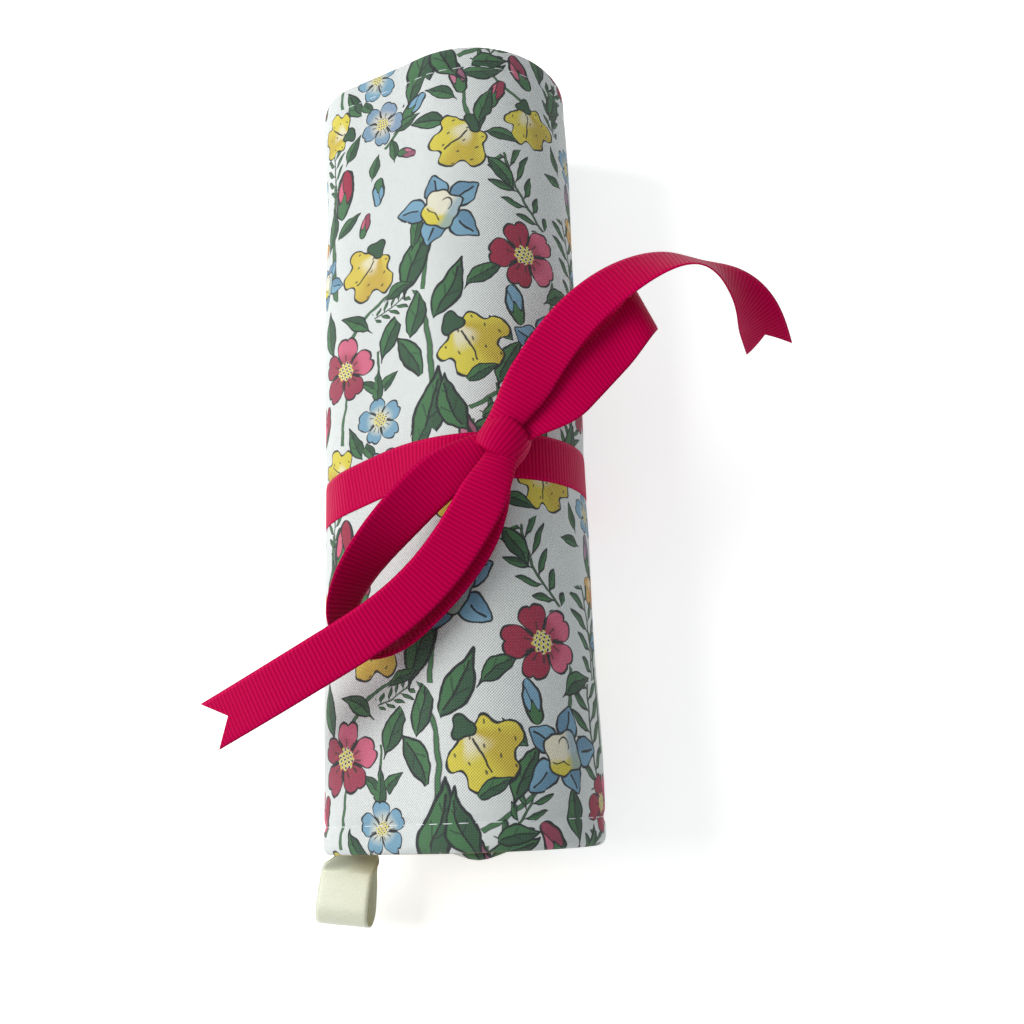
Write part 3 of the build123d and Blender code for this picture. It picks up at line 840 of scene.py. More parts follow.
@dataclass(frozen=True)
class Grosgrain:
    """Ribbed ribbon: smoother on its ribs, with a painted highlight on the rib tops, painted shade in the
    grooves between them, and dotted selvedges painted lighter as highlights.
    """

    # colour is the ribbon's own colour; light is a painted highlight copy of it and deep a painted shade copy
    # of it.
    colour: tuple[float, float, float, float] = linear(168, 0, 60)
    light: tuple[float, float, float, float] = linear(224, 6, 96)
    deep: tuple[float, float, float, float] = linear(158, 0, 54)

    def make(self, weaves: Weaves, width: float, pitch: float) -> bpy.types.Material:
        """Builds the material.

        Args:
            weaves: the shared effects.
            width: the ribbon's width in metres.
            pitch: the spacing of its ribs in metres.

        Returns:
            The material.
        """
        material, g, shader = new_material("grosgrain")
        ribbon = cloth_millimetres(g, True)
        threads = weaves.ribbed.use(g, Ribbon=ribbon, Half=width / MM / 2, Ribs=MM / pitch)
        rib = g.out(threads, "Rib")
        # Painted shade: the grooves between the ribs take the darker copy.
        colour = g.mix(rib, self.deep, self.colour)
        # Painted highlight on the rib tops.
        colour = g.mix(rib.above(0.93, 0.14) * 0.3, colour, self.light)
        # Painted highlights on the selvedge loops.
        colour = g.mix(g.out(threads, "Edge") * 0.45, colour, self.light)
        g.put(shader.inputs["Base Color"], colour)
        g.put(shader.inputs["Roughness"], rib * -0.18 + 0.66)
        shader.inputs["Specular IOR Level"].default_value = 0.14
        shader.inputs["Specular Tint"].default_value = (1.0, 0.05, 0.35, 1.0)
        set_bump(g, shader, g.out(threads, "Height"), distance=0.0002, strength=0.3)
        return material


@dataclass(frozen=True)
class Satin:
    """Cream double-faced satin: long floats that catch the light in fine flecks."""

    colour: tuple[float, float, float, float] = linear(216, 220, 202)
    deep: tuple[float, float, float, float] = linear(194, 196, 172)

    def make(self) -> bpy.types.Material:
        """Builds the material."""
        material, g, shader = new_material("satin")
        cloth = cloth_millimetres(g, True)
        floats = g.noise(g.vector("MULTIPLY", cloth, (5.0, 1.3, 1.0)), 1.0, 3.0, 0.6)
        broad = g.noise(cloth, 0.25, 2.0)
        fleck = g.out(floats)
        # Painted glints: the flecks of the floats are painted lighter, over a broad noise of tone.
        colour = g.mix(fleck.above(0.5, 0.3) * 0.6 + g.out(broad) * 0.4, self.deep, self.colour)
        g.put(shader.inputs["Base Color"], colour)
        g.put(shader.inputs["Roughness"], 0.48 - fleck * 0.24)
        set_gloss(shader, specular=0.5, sheen=0.2)
        set_bump(g, shader, fleck, distance=0.0001, strength=0.5)
        return material


@dataclass(frozen=True)
class Thread:
    """Twisted sewing thread."""

    name: str
    colour: tuple[float, float, float, float]
    deep: tuple[float, float, float, float]

    def make(self) -> bpy.types.Material:
        """Builds the material: fine diagonal noise darkens the twist."""
        material, g, shader = new_material(self.name)
        place = cloth_millimetres(g, False)
        twist = g.noise(g.vector("MULTIPLY", place, (3.0, 3.0, 6.0)), 1.0, 2.0)
        g.put(shader.inputs["Base Color"], g.mix(g.out(twist), self.deep, self.colour))
        g.put(shader.inputs["Roughness"], g.out(twist) * 0.2 + 0.5)
        set_bump(g, shader, g.out(twist), distance=0.0001, strength=0.4)
        return material


# ---- meshes ----------------------------------------------------------------------------------------


def grid_faces(rows: int, columns: int, wrap: bool = False, first: int = 0) -> np.ndarray:
    """Quads of a grid of vertices numbered row by row.

    Args:
        rows, columns: the grid's size.
        wrap: joins the last column to the first.
        first: number of the grid's first vertex.

    Returns:
        Array of four vertex numbers a face.
    """
    row = np.arange(rows - 1)[:, None]
    column = np.arange(columns if wrap else columns - 1)[None, :]
    after = (column + 1) % columns
    quads = np.stack([row * columns + column, (row + 1) * columns + column,
                      (row + 1) * columns + after, row * columns + after], -1)
    return quads.reshape(-1, 4) + first


def make_object(name: str, points: np.ndarray, faces: Sequence[Any], material: bpy.types.Material | None,
                maps: dict[str, np.ndarray] | None = None) -> bpy.types.Object:
    """A smooth-shaded mesh object at the origin.

    Args:
        name: the piece's name.
        points: vertices, in metres.
        faces: vertex numbers of each face.
        material: its finish.
        maps: UV maps by name, a coordinate for each vertex or for each corner.

    Returns:
        The object, linked to the scene.
    """
    mesh = bpy.data.meshes.new(name)
    listed = faces.tolist() if isinstance(faces, np.ndarray) else list(faces)
    mesh.from_pydata(points.reshape(-1, 3).tolist(), [], listed)
    mesh.polygons.foreach_set("use_smooth", np.ones(len(mesh.polygons), bool))
    corner = np.zeros(len(mesh.loops), np.int32)
    mesh.loops.foreach_get("vertex_index", corner)
    for key, places in (maps or {}).items():
        flat = places.reshape(-1, 2)
        layer = mesh.uv_layers.new(name=key, do_init=False)
        chosen = flat if len(flat) == len(corner) and len(flat) != len(mesh.vertices) else flat[corner]
        layer.uv.foreach_set("vector", chosen.astype(np.float32).ravel())
    if material is not None:
        mesh.materials.append(material)
    mesh.update()
    made = bpy.data.objects.new(name, mesh)
    bpy.context.scene.collection.objects.link(made)
    return made


def shell(name: str, outer: np.ndarray, inner: np.ndarray, material: bpy.types.Material,
          cloth: np.ndarray) -> bpy.types.Object:
    """Sheet of cloth between two grids of points, closed all round its edge.

    Args:
        name: the piece's name.
        outer, inner: grids of the same size, rows by columns by 3.
        material: its finish.
        cloth: coordinate on the cloth of each grid point, in metres.

    Returns:
        The object. Its OFBake map lays the two sides in the two halves of the unit square.
    """
    rows, columns = outer.shape[:2]
    count = rows * columns
    top = grid_faces(rows, columns)
    bottom = grid_faces(rows, columns, first=count)[:, ::-1]
    rim = np.concatenate([
        np.arange(columns), np.arange(1, rows) * columns + columns - 1,
        (rows - 1) * columns + np.arange(columns - 2, -1, -1), np.arange(rows - 2, 0, -1) * columns])
    after = np.roll(rim, -1)
    wall = np.stack([rim, after, after + count, rim + count], -1)
    span = cloth.reshape(-1, 2)
    square = (span - span.min(0)) / (span.max(0) - span.min(0)) * 0.98 + 0.01
    bake_outer = np.stack([square[:, 0], square[:, 1] * 0.66 + 0.33], -1)
    bake_inner = np.stack([square[:, 0], square[:, 1] * 0.32], -1)
    return make_object(name, np.concatenate([outer.reshape(-1, 3), inner.reshape(-1, 3)]),
                       np.concatenate([top, bottom, wall]), material,
                       {"Cloth": np.concatenate([span, span]),
                        "OFBake": np.concatenate([bake_outer, bake_inner])})


def ease(value: np.ndarray) -> np.ndarray:
    """Smooth step from 0 to 1 over the same range."""
    t = np.clip(value, 0, 1)
    return t * t * (3 - 2 * t)


def lengths(points: np.ndarray) -> np.ndarray:
    """Distance along a line of points to each of them."""
    steps = np.linalg.norm(np.diff(points, axis=0), axis=1)
    return np.concatenate([[0.0], np.cumsum(steps)])


def unit(vectors: np.ndarray) -> np.ndarray:
    """Vectors scaled to length one."""
    return vectors / np.linalg.norm(vectors, axis=-1, keepdims=True)


def read_along(where: np.ndarray, place: np.ndarray, rows: np.ndarray) -> np.ndarray:
    """Rows of three numbers, given at places along a line, read at other places between them."""
    return np.stack([np.interp(where, place, rows[:, k]) for k in range(3)], -1)


def spline(knots: np.ndarray, samples: int) -> np.ndarray:
    """Natural cubic spline through rows of numbers, spaced by the distance between their points.

    Args:
        knots: rows whose first three columns are a point; the other columns follow the same spline.
        samples: number of rows wanted.

    Returns:
        Rows evenly spaced along the spline's parameter.
    """
    place = lengths(knots[:, :3])
    gaps = np.diff(place)
    count = len(knots)
    system = np.eye(count)
    bends = np.zeros_like(knots)
    inside = np.arange(1, count - 1)
    system[inside, inside - 1] = gaps[:-1]
    system[inside, inside] = 2 * (gaps[:-1] + gaps[1:])
    system[inside, inside + 1] = gaps[1:]
    slopes = np.diff(knots, axis=0) / gaps[:, None]
    bends[1:-1] = 6 * np.diff(slopes, axis=0)
    curve = np.linalg.solve(system, bends)
    wanted = np.linspace(0, place[-1], samples)
    index = np.clip(np.searchsorted(place, wanted) - 1, 0, count - 2)
    gap = gaps[index][:, None]
    near = (wanted - place[index])[:, None]
    far = gap - near
    return (curve[index] * far ** 3 + curve[index + 1] * near ** 3) / (6 * gap) \
        + (knots[index] / gap - curve[index] * gap / 6) * far \
        + (knots[index + 1] / gap - curve[index + 1] * gap / 6) * near


@dataclass(frozen=True)
class Ribbon:
    """A woven ribbon: its width, thickness and ribs, and the mesh that follows any path."""

    width: float = 12 * MM
    thick: float = 0.5 * MM
    pitch: float = 1.07 * MM
    rib_depth: float = 0.042 * MM
    columns: int = 13
    per_rib: int = 5

    def follow(self, name: str, path: np.ndarray, across: np.ndarray, material: bpy.types.Material,
               notch: tuple[float, float] = (0.0, 0.0), narrow: np.ndarray | None = None,
               crown: float | np.ndarray = 0.0) -> bpy.types.Object:
        """Ribbon along a path, with ribs across it.

        A cross-section of two rows of points is carried along the path: its half thickness is smaller
        between the ribs and thinner at the very selvedges. The last part of each end is stretched or
        shortened column by column, which cuts the swallow tail.

        Args:
            name: the piece's name.
            path: points along its middle, in metres.
            across: unit vectors across it at those points.
            material: its finish.
            notch: depth of the notch at the start and at the end.
            narrow: share of the full width at each point.
            crown: how far its middle stands over its edges.

        Returns:
            The object.
        """
        place = lengths(path)
        total = place[-1]
        rows = max(8, int(total / self.pitch * self.per_rib))
        along = np.linspace(0, total, rows)[:, None]
        column = np.linspace(-1, 1, self.columns)[None, :]
        along, column = np.broadcast_arrays(along, column)
        along = self.cut(along.copy(), column, total, notch)
        centre = read_along(along, place, path)
        side = unit(read_along(along, place, across))
        ahead = unit(read_along(along, place, unit(np.gradient(path, place, axis=0))))
        up = unit(np.cross(side, ahead))
        share = np.ones_like(along) if narrow is None else np.interp(along, place, narrow)
        rise = crown if np.isscalar(crown) else np.interp(along, place, crown)
        groove = self.rib_depth * (1 - np.abs(np.sin(along / self.pitch * math.pi)))
        half = self.thick / 2 - groove
        half = half * np.where(np.abs(column) > 0.99, 0.55, 1.0)
        offset = column * self.width / 2 * share
        middle = centre + side * offset[..., None] + up * (rise * (1 - column ** 2))[..., None]
        top, under = middle + up * half[..., None], middle - up * half[..., None]
        ring = np.concatenate([top, under[:, ::-1]], 1)
        coordinate = np.stack([offset, along], -1)
        coordinate = np.concatenate([coordinate, coordinate[:, ::-1]], 1)
        size = ring.shape[1]
        faces = grid_faces(rows, size, wrap=True)[:, ::-1].tolist()
        last = (rows - 1) * size
        pairs = np.arange(self.columns - 1)
        start = np.stack([pairs, pairs + 1, size - 2 - pairs, size - 1 - pairs], -1)
        faces += start.tolist() + (start[:, ::-1] + last).tolist()
        return make_object(name, ring, faces, material, {"Cloth": coordinate})

    @staticmethod
    def cut(along: np.ndarray, column: np.ndarray, total: float, notch: tuple[float, float]) -> np.ndarray:
        """Moves the last stretch of each end along the ribbon, so that its middle is cut deepest."""
        reach = 14 * MM
        depth = 1 - np.abs(column)
        end = np.clip((along - (total - reach)) / reach, 0, 1)
        start = np.clip((reach - along) / reach, 0, 1)
        return along - end * depth * notch[1] + start * depth * notch[0]


@dataclass(frozen=True)
class Stitch:
    """One stitch of a row: its length, the gap to the next one and the radius of its thread."""

    length: float = 2.9 * MM
    gap: float = 0.95 * MM
    radius: float = 0.11 * MM
    rings: int = 7
    around: int = 6

    def row(self, points: np.ndarray, normals: np.ndarray) -> tuple[np.ndarray, list]:
        """Separate stitches along a line: each is a small capsule whose middle arches over its ends.

        Args:
            points: the line, in metres.
            normals: outward directions along it.

        Returns:
            Vertices and faces of all the stitches.
        """
        place = lengths(points)
        count = max(1, int(place[-1] / (self.length + self.gap)))
        spacing = place[-1] / count
        starts = (np.arange(count) + 0.5) * spacing
        t = np.linspace(-1, 1, self.rings)
        swell = np.sqrt(np.clip(1 - np.abs(t) ** 4, 0.05, 1))
        arch = (1 - t ** 2) * self.radius * 1.2 - self.radius * 0.9
        turn = np.arange(self.around) / self.around * TURN
        where = starts[:, None] + t[None, :] * (spacing - self.gap) / 2
        out = unit(read_along(where, place, normals))
        ahead = unit(read_along(where, place, unit(np.gradient(points, place, axis=0))))
        side = unit(np.cross(ahead, out))
        centre = read_along(where, place, points) + out * arch[None, :, None]
        thick = (self.radius * swell)[None, :, None, None]
        ring = centre[:, :, None] + thick * (side[:, :, None] * np.cos(turn)[None, None, :, None]
                                             + out[:, :, None] * np.sin(turn)[None, None, :, None])
        per = self.rings * self.around
        numbers = np.arange(count)[:, None, None] * per
        sides = (grid_faces(self.rings, self.around, wrap=True)[None] + numbers).reshape(-1, 4)
        start_cap = np.arange(self.around)
        end_cap = start_cap[::-1] + per - self.around
        caps = [(cap + n * per).tolist() for n in range(count) for cap in (start_cap, end_cap)]
        return ring.reshape(-1, 3), sides.tolist() + caps


def join_rows(rows: Sequence[tuple[np.ndarray, Any]]) -> tuple[np.ndarray, list]:
    """Several sets of vertices and faces as one."""
    points, faces, first = [], [], 0
    for vertices, listed in rows:
        points.append(vertices)
        faces += [[n + first for n in face] for face in listed]
        first += len(vertices)
    return np.concatenate(points), faces


def out_facing(made: bpy.types.Object) -> bpy.types.Object:
    """Turns the faces of a closed mesh outwards."""
    work = bmesh.new()
    work.from_mesh(made.data)
    bmesh.ops.recalc_face_normals(work, faces=work.faces)
    work.to_mesh(made.data)
    work.free()
    return made


def settle(piece: bpy.types.Object, node: str) -> bpy.types.Object:
    """Makes a piece ride on the roll and hides the part of its node, which the piece stands for."""
    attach(piece, "roll")
    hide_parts(node)
    return piece


# ---- the wound mat ---------------------------------------------------------------------------------


@dataclass
class WoundPath:
    """The line that the mat is wound along, seen down the roll's axis.

    A straight run underneath, an arc on the right, a straight slope over the top and an arc on the left
    make one turn; the left arc ends one pitch higher, where the next turn begins.
    """

    left_radius: float = 18.65 * MM
    right_radius: float = 27.4 * MM
    rest_run: float = 24.8 * MM
    pitch: float = 4.2 * MM
    turns: int = 3
    right_samples: int = 300
    left_samples: int = 200

    def __post_init__(self) -> None:
        """Samples the line densely: place along it, points and outward normals."""
        left = np.array([-self.rest_run / 2, self.left_radius + self.pitch])
        right = np.array([self.rest_run / 2, self.right_radius])
        lean = math.atan2(*(right - left)[::-1])
        spread = math.acos((self.left_radius - self.right_radius) / np.linalg.norm(right - left))
        top, bottom = lean + spread, -math.pi / 2
        rows = []
        for turn in range(self.turns):
            inward = turn * self.pitch
            small, large = self.left_radius - inward, self.right_radius - inward
            rows.append(self.arc(right, large, np.linspace(bottom, top, self.right_samples)))
            rows.append(self.arc(left, small, np.linspace(top, TURN + bottom, self.left_samples)))
        start = np.array([[left[0], 0.0, 0.0, -1.0]])
        line = np.concatenate([start, *rows])
        place = lengths(line[:, [0, 1]])
        keep = np.concatenate([[True], np.diff(place) > 1e-9])
        self.place, self.line = place[keep], line[keep]
        self.length = float(self.place[-1])
        self.first_turn = float(place[self.right_samples + self.left_samples])

    @staticmethod
    def arc(centre: np.ndarray, radius: float, angles: np.ndarray) -> np.ndarray:
        """Points and normals of an arc as rows (x, z, normal x, normal z)."""
        out = np.stack([np.cos(angles), np.sin(angles)], -1)
        return np.concatenate([centre + radius * out, out], 1)

    def at(self, place: np.ndarray, inward: np.ndarray, y: np.ndarray) -> np.ndarray:
        """Points a distance inside the line.

        Args:
            place: distance along the line.
            inward: distance inside it.
            y: position along the roll.

        Returns:
            Points in the frame, in metres.
        """
        x, z, nx, nz = (np.interp(place, self.place, self.line[:, k]) for k in range(4))
        size = np.hypot(nx, nz)
        return np.stack([x - nx / size * inward, y + 0 * x, z - nz / size * inward], -1)

    def outward(self, place: np.ndarray) -> np.ndarray:
        """Outward unit vectors along the line."""
        nx, nz = (np.interp(place, self.place, self.line[:, k]) for k in (2, 3))
        return unit(np.stack([nx, 0 * nx, nz], -1))


@dataclass
class RolledMat:
    """Cover, wadding and lining of the mat, wound up, with the top stitching round its edges."""

    width: float = 212 * MM
    stack: float = 3.2 * MM
    cloth: float = 0.35 * MM
    edge_round: float = 2.4 * MM
    hem: float = 3 * MM
    stitching: Stitch = Stitch()
    stitch_inset: float = 6.6 * MM
    stitch_dip: float = 0.45 * MM
    slip: float = 2.6 * MM
    slip_place: float = 299 * MM
    waist: float = 0.55 * MM
    band_y: float = -12 * MM
    print_zero: float = 116.7 * MM
    path: WoundPath = field(default_factory=WoundPath)

    def samples_along(self) -> np.ndarray:
        """Places along the mat: close together near its two ends and on the outer turn."""
        length, fine = self.path.length, self.path.first_turn + 6 * MM
        near = self.edge_round * (1 - np.cos(np.linspace(0, math.pi / 2, 8)))
        outer = np.arange(near[-1] + 1.4 * MM, fine, 1.4 * MM)
        inner = np.arange(outer[-1] + 2.3 * MM, length - near[-1], 2.3 * MM)
        return np.concatenate([near, outer, inner, (length - near)[::-1]])

    def samples_across(self) -> np.ndarray:
        """Positions across the mat: close together over the rounded edge and the stitching."""
        half = self.width / 2
        near = self.edge_round * (1 - np.cos(np.linspace(0, math.pi / 2, 7)))
        hem = np.arange(near[-1] + 0.7 * MM, 10.5 * MM, 0.7 * MM)
        side = np.concatenate([near, hem]) - half
        middle = np.arange(side[-1] + 2.1 * MM, -side[-1] - 1.0 * MM, 2.1 * MM)
        return np.concatenate([side, middle, -side[::-1]])

    def swell(self, place: np.ndarray, y: np.ndarray) -> np.ndarray:
        """How far the mat's two faces stand from its middle.

        Half the stack, falling to nothing round the edge as a quarter ellipse, pressed in along the line
        of stitching, with small puckers between the stitches.
        """
        sides = np.stack([place, self.path.length - place, self.width / 2 - np.abs(y)])
        edge = np.clip(sides.min(0), 0, None)
        fall = np.clip(1 - edge / self.edge_round, 0, 1)
        round_off = np.sqrt(1 - fall ** 2)
        end_inset = self.width / 2 - np.abs(y) - self.stitch_inset
        flap_inset = place - self.stitch_inset
        dip = np.exp(-(end_inset / (1.1 * MM)) ** 2) + np.exp(-(flap_inset / (1.1 * MM)) ** 2)
        pucker = np.exp(-((end_inset + 1.5 * MM) / (3.4 * MM)) ** 2) \
            * (np.sin(place / MM * 0.93 + np.sin(place / MM * 0.31) * 2.1) * 0.10
               + np.sin(place / MM * 0.41 + 1.3) * 0.12)
        return self.stack / 2 * round_off + (pucker * MM - self.stitch_dip * np.clip(dip, 0, 1)) * round_off

    def unevenness(self, place: np.ndarray, y: np.ndarray) -> np.ndarray:
        """Gentle hollows of a soft roll, the pull of the tied ribbon and a slight flare at its ends."""
        s, v = place / MM, y / MM
        soft = (np.sin(s * 0.060 + v * 0.031 + 0.7) * np.sin(v * 0.052 - s * 0.021) * 0.36
                + np.sin(v * 0.11 + s * 0.045 + 2.0) * 0.16 + np.sin(s * 0.13 - v * 0.06) * 0.10)
        pull = np.exp(-((y - self.band_line(place)) / (8 * MM)) ** 2) * self.waist
        flare = (np.abs(y) / (self.width / 2)) ** 6 * 0.3
        clear = np.minimum(place - self.path.rest_run, self.path.first_turn - place)
        rest = ease(clear / (16 * MM))
        outer = 1 - ease((place - self.path.first_turn) / (30 * MM)) * 0.8
        return ((soft + flare) * MM * (0.12 + 0.88 * rest) - pull) * outer

    def band_line(self, place: np.ndarray) -> np.ndarray:
        """Where the tied ribbon runs round the roll: level, but slanting to the foot on the left."""
        slant = ease((place - 128 * MM) / (34 * MM)) * (1 - ease((place - 168 * MM) / (30 * MM)))
        return self.band_y - slant * 4.6 * MM + 0 * place

    def slide(self, place: np.ndarray, y: np.ndarray) -> np.ndarray:
        """Movement along the roll: inner turns draw in a little, and one bulge slips out at the foot."""
        inner = ease((place - self.path.first_turn + 20 * MM) / (60 * MM))
        drawn = -y / (self.width / 2) * inner * 0.8 * MM
        foot = ease(-y / (self.width / 2))
        return drawn - self.slip * foot * np.exp(-((place - self.slip_place) / (7 * MM)) ** 2)

    def surface(self, place: np.ndarray, y: np.ndarray, above_middle: tuple[float, float]) -> np.ndarray:
        """Points of the mat at a height over its middle sheet, as a share of its swell plus a distance."""
        share, extra = above_middle
        inward = self.stack / 2 - self.swell(place, y) * share - extra - self.unevenness(place, y)
        return self.path.at(place, inward, y + self.slide(place, y))

    def build(self, printed: bpy.types.Material, lining: bpy.types.Material, wadding: bpy.types.Material,
              thread: bpy.types.Material) -> list[bpy.types.Object]:
        """Builds the three layers and the stitching.

        Args:
            printed, lining, wadding, thread: their finishes.

        Returns:
            The pieces.
        """
        s, v = np.meshgrid(self.samples_along(), self.samples_across(), indexing="ij")
        mapped = np.stack([self.print_zero - s, v], -1)
        cover = shell("cover_cloth", self.surface(s, v, (1, 0)), self.surface(s, v, (0.8, -self.cloth)),
                      printed, mapped)
        under = shell("lining_cloth", self.surface(s, v, (-0.8, self.cloth - 0.1 * MM)),
                      self.surface(s, v, (-1, 0)), lining, mapped)
        hem = self.hem
        s, v = np.meshgrid(np.linspace(hem, self.path.length - hem, 300),
                           np.linspace(hem - self.width / 2, self.width / 2 - hem, 60), indexing="ij")
        mapped = np.stack([self.print_zero - s, v], -1)
        filling = shell("wadding_sheet", self.surface(s, v, (0.7, -self.cloth)),
                        self.surface(s, v, (-0.7, self.cloth)), wadding, mapped)
        for piece, node, slot in ((cover, "cover_panel", "printed_cotton"),
                                  (under, "lining_panel", "lining_cotton"),
                                  (filling, "wadding_layer", "wadding")):
            settle(out_facing(piece), node)
        flat = (self.width, self.path.length)
        flat[0] - 2 * hem
        flat[1] - 2 * hem
        return [cover, under, filling, *self.stitch(thread)]

    def stitch(self, thread: bpy.types.Material) -> list[bpy.types.Object]:
        """Top stitching: along both ends of the mat and along its free edge, seen on both faces."""
        inset, half = self.stitch_inset, self.width / 2
        along = np.arange(inset, self.path.length - inset, 0.8 * MM)
        up = np.arange(inset + 2 * MM - half, half - inset - 2 * MM, 0.8 * MM)
        lines = {
            "edge_stitching_foot": (along, 0 * along + inset - half),
            "edge_stitching_head": (along, 0 * along + half - inset),
            "flap_edge_stitching": (0 * up + inset, up),
        }
        pieces = []
        for name, (s, v) in lines.items():
            rows = []
            for side in (1, -1):
                points = self.surface(s, v, (side, 0.0))
                rows.append(self.stitching.row(points, side * self.path.outward(s)))
            made = out_facing(make_object(name + "_thread", *join_rows(rows), thread))
            pieces.append(settle(made, name))
        return pieces


@dataclass
class Inserts:
    """What lies on the lining inside the roll: the pocket panel and the felt needle leaf."""

    mat: RolledMat
    stitching: Stitch = Stitch(radius=0.15 * MM)
    thick: float = 0.6 * MM
    clear: float = 0.08 * MM
    foot_hem: float = 9.6 * MM
    leaf_seam: float = 3.3 * MM
    pocket_height: float = 104 * MM
    pocket_places: tuple[float, float] = (36.9 * MM, 177 * MM)
    dividers: tuple[float, ...] = (65.0 * MM, 93.3 * MM, 130.3 * MM, 151.6 * MM, 165.2 * MM)
    leaf_height: float = 92 * MM
    leaf_places: tuple[float, float] = (235 * MM, 320 * MM)

    def panel(self, name: str, places: tuple[float, float], y_range: tuple[float, float],
              material: bpy.types.Material) -> bpy.types.Object:
        """One panel lying on the lining, slightly full between its edges."""
        s, v = np.meshgrid(np.linspace(*places, 110), np.linspace(*y_range, 40), indexing="ij")
        share = (s - places[0]) / (places[1] - places[0])
        lift = np.sin(share * math.pi * 6) ** 2 * 0.06 * MM
        near = self.mat.surface(s, v, (-1, -self.clear))
        far = self.mat.surface(s, v, (-1, -self.clear - self.thick * 0.8 - lift))
        mapped = np.stack([self.mat.print_zero - s, v], -1)
        return out_facing(shell(name, near, far, material, mapped))

    def build(self, cotton: bpy.types.Material, felt: bpy.types.Material,
              thread: bpy.types.Material) -> list[bpy.types.Object]:
        """Builds the panels and their stitching."""
        foot = -self.mat.width / 2 + self.foot_hem
        spans = {"pocket_panel": (foot, foot + self.pocket_height),
                 "needle_leaf": (-self.leaf_height / 2, self.leaf_height / 2)}
        pocket = self.panel("pocket_cloth", self.pocket_places, spans["pocket_panel"], cotton)
        leaf = self.panel("needle_leaf_felt", self.leaf_places, spans["needle_leaf"], felt)
        rows = {"pocket_divider_stitching": (self.dividers, spans["pocket_panel"]),
                "needle_leaf_stitching": ((self.leaf_places[0] + self.leaf_seam,), spans["needle_leaf"])}
        pieces = [settle(pocket, "pocket_panel"), settle(leaf, "needle_leaf")]
        for node, (places, (low, high)) in rows.items():
            v = np.arange(low + MM, high - MM, 0.8 * MM)
            lines = []
            for place in places:
                s = 0 * v + place
                points = self.mat.surface(s, v, (-1, -self.thick * 1.2))
                lines.append(self.stitching.row(points, -self.mat.path.outward(s)))
            made = out_facing(make_object(node + "_thread", *join_rows(lines), thread))
            pieces.append(settle(made, node))
        return pieces


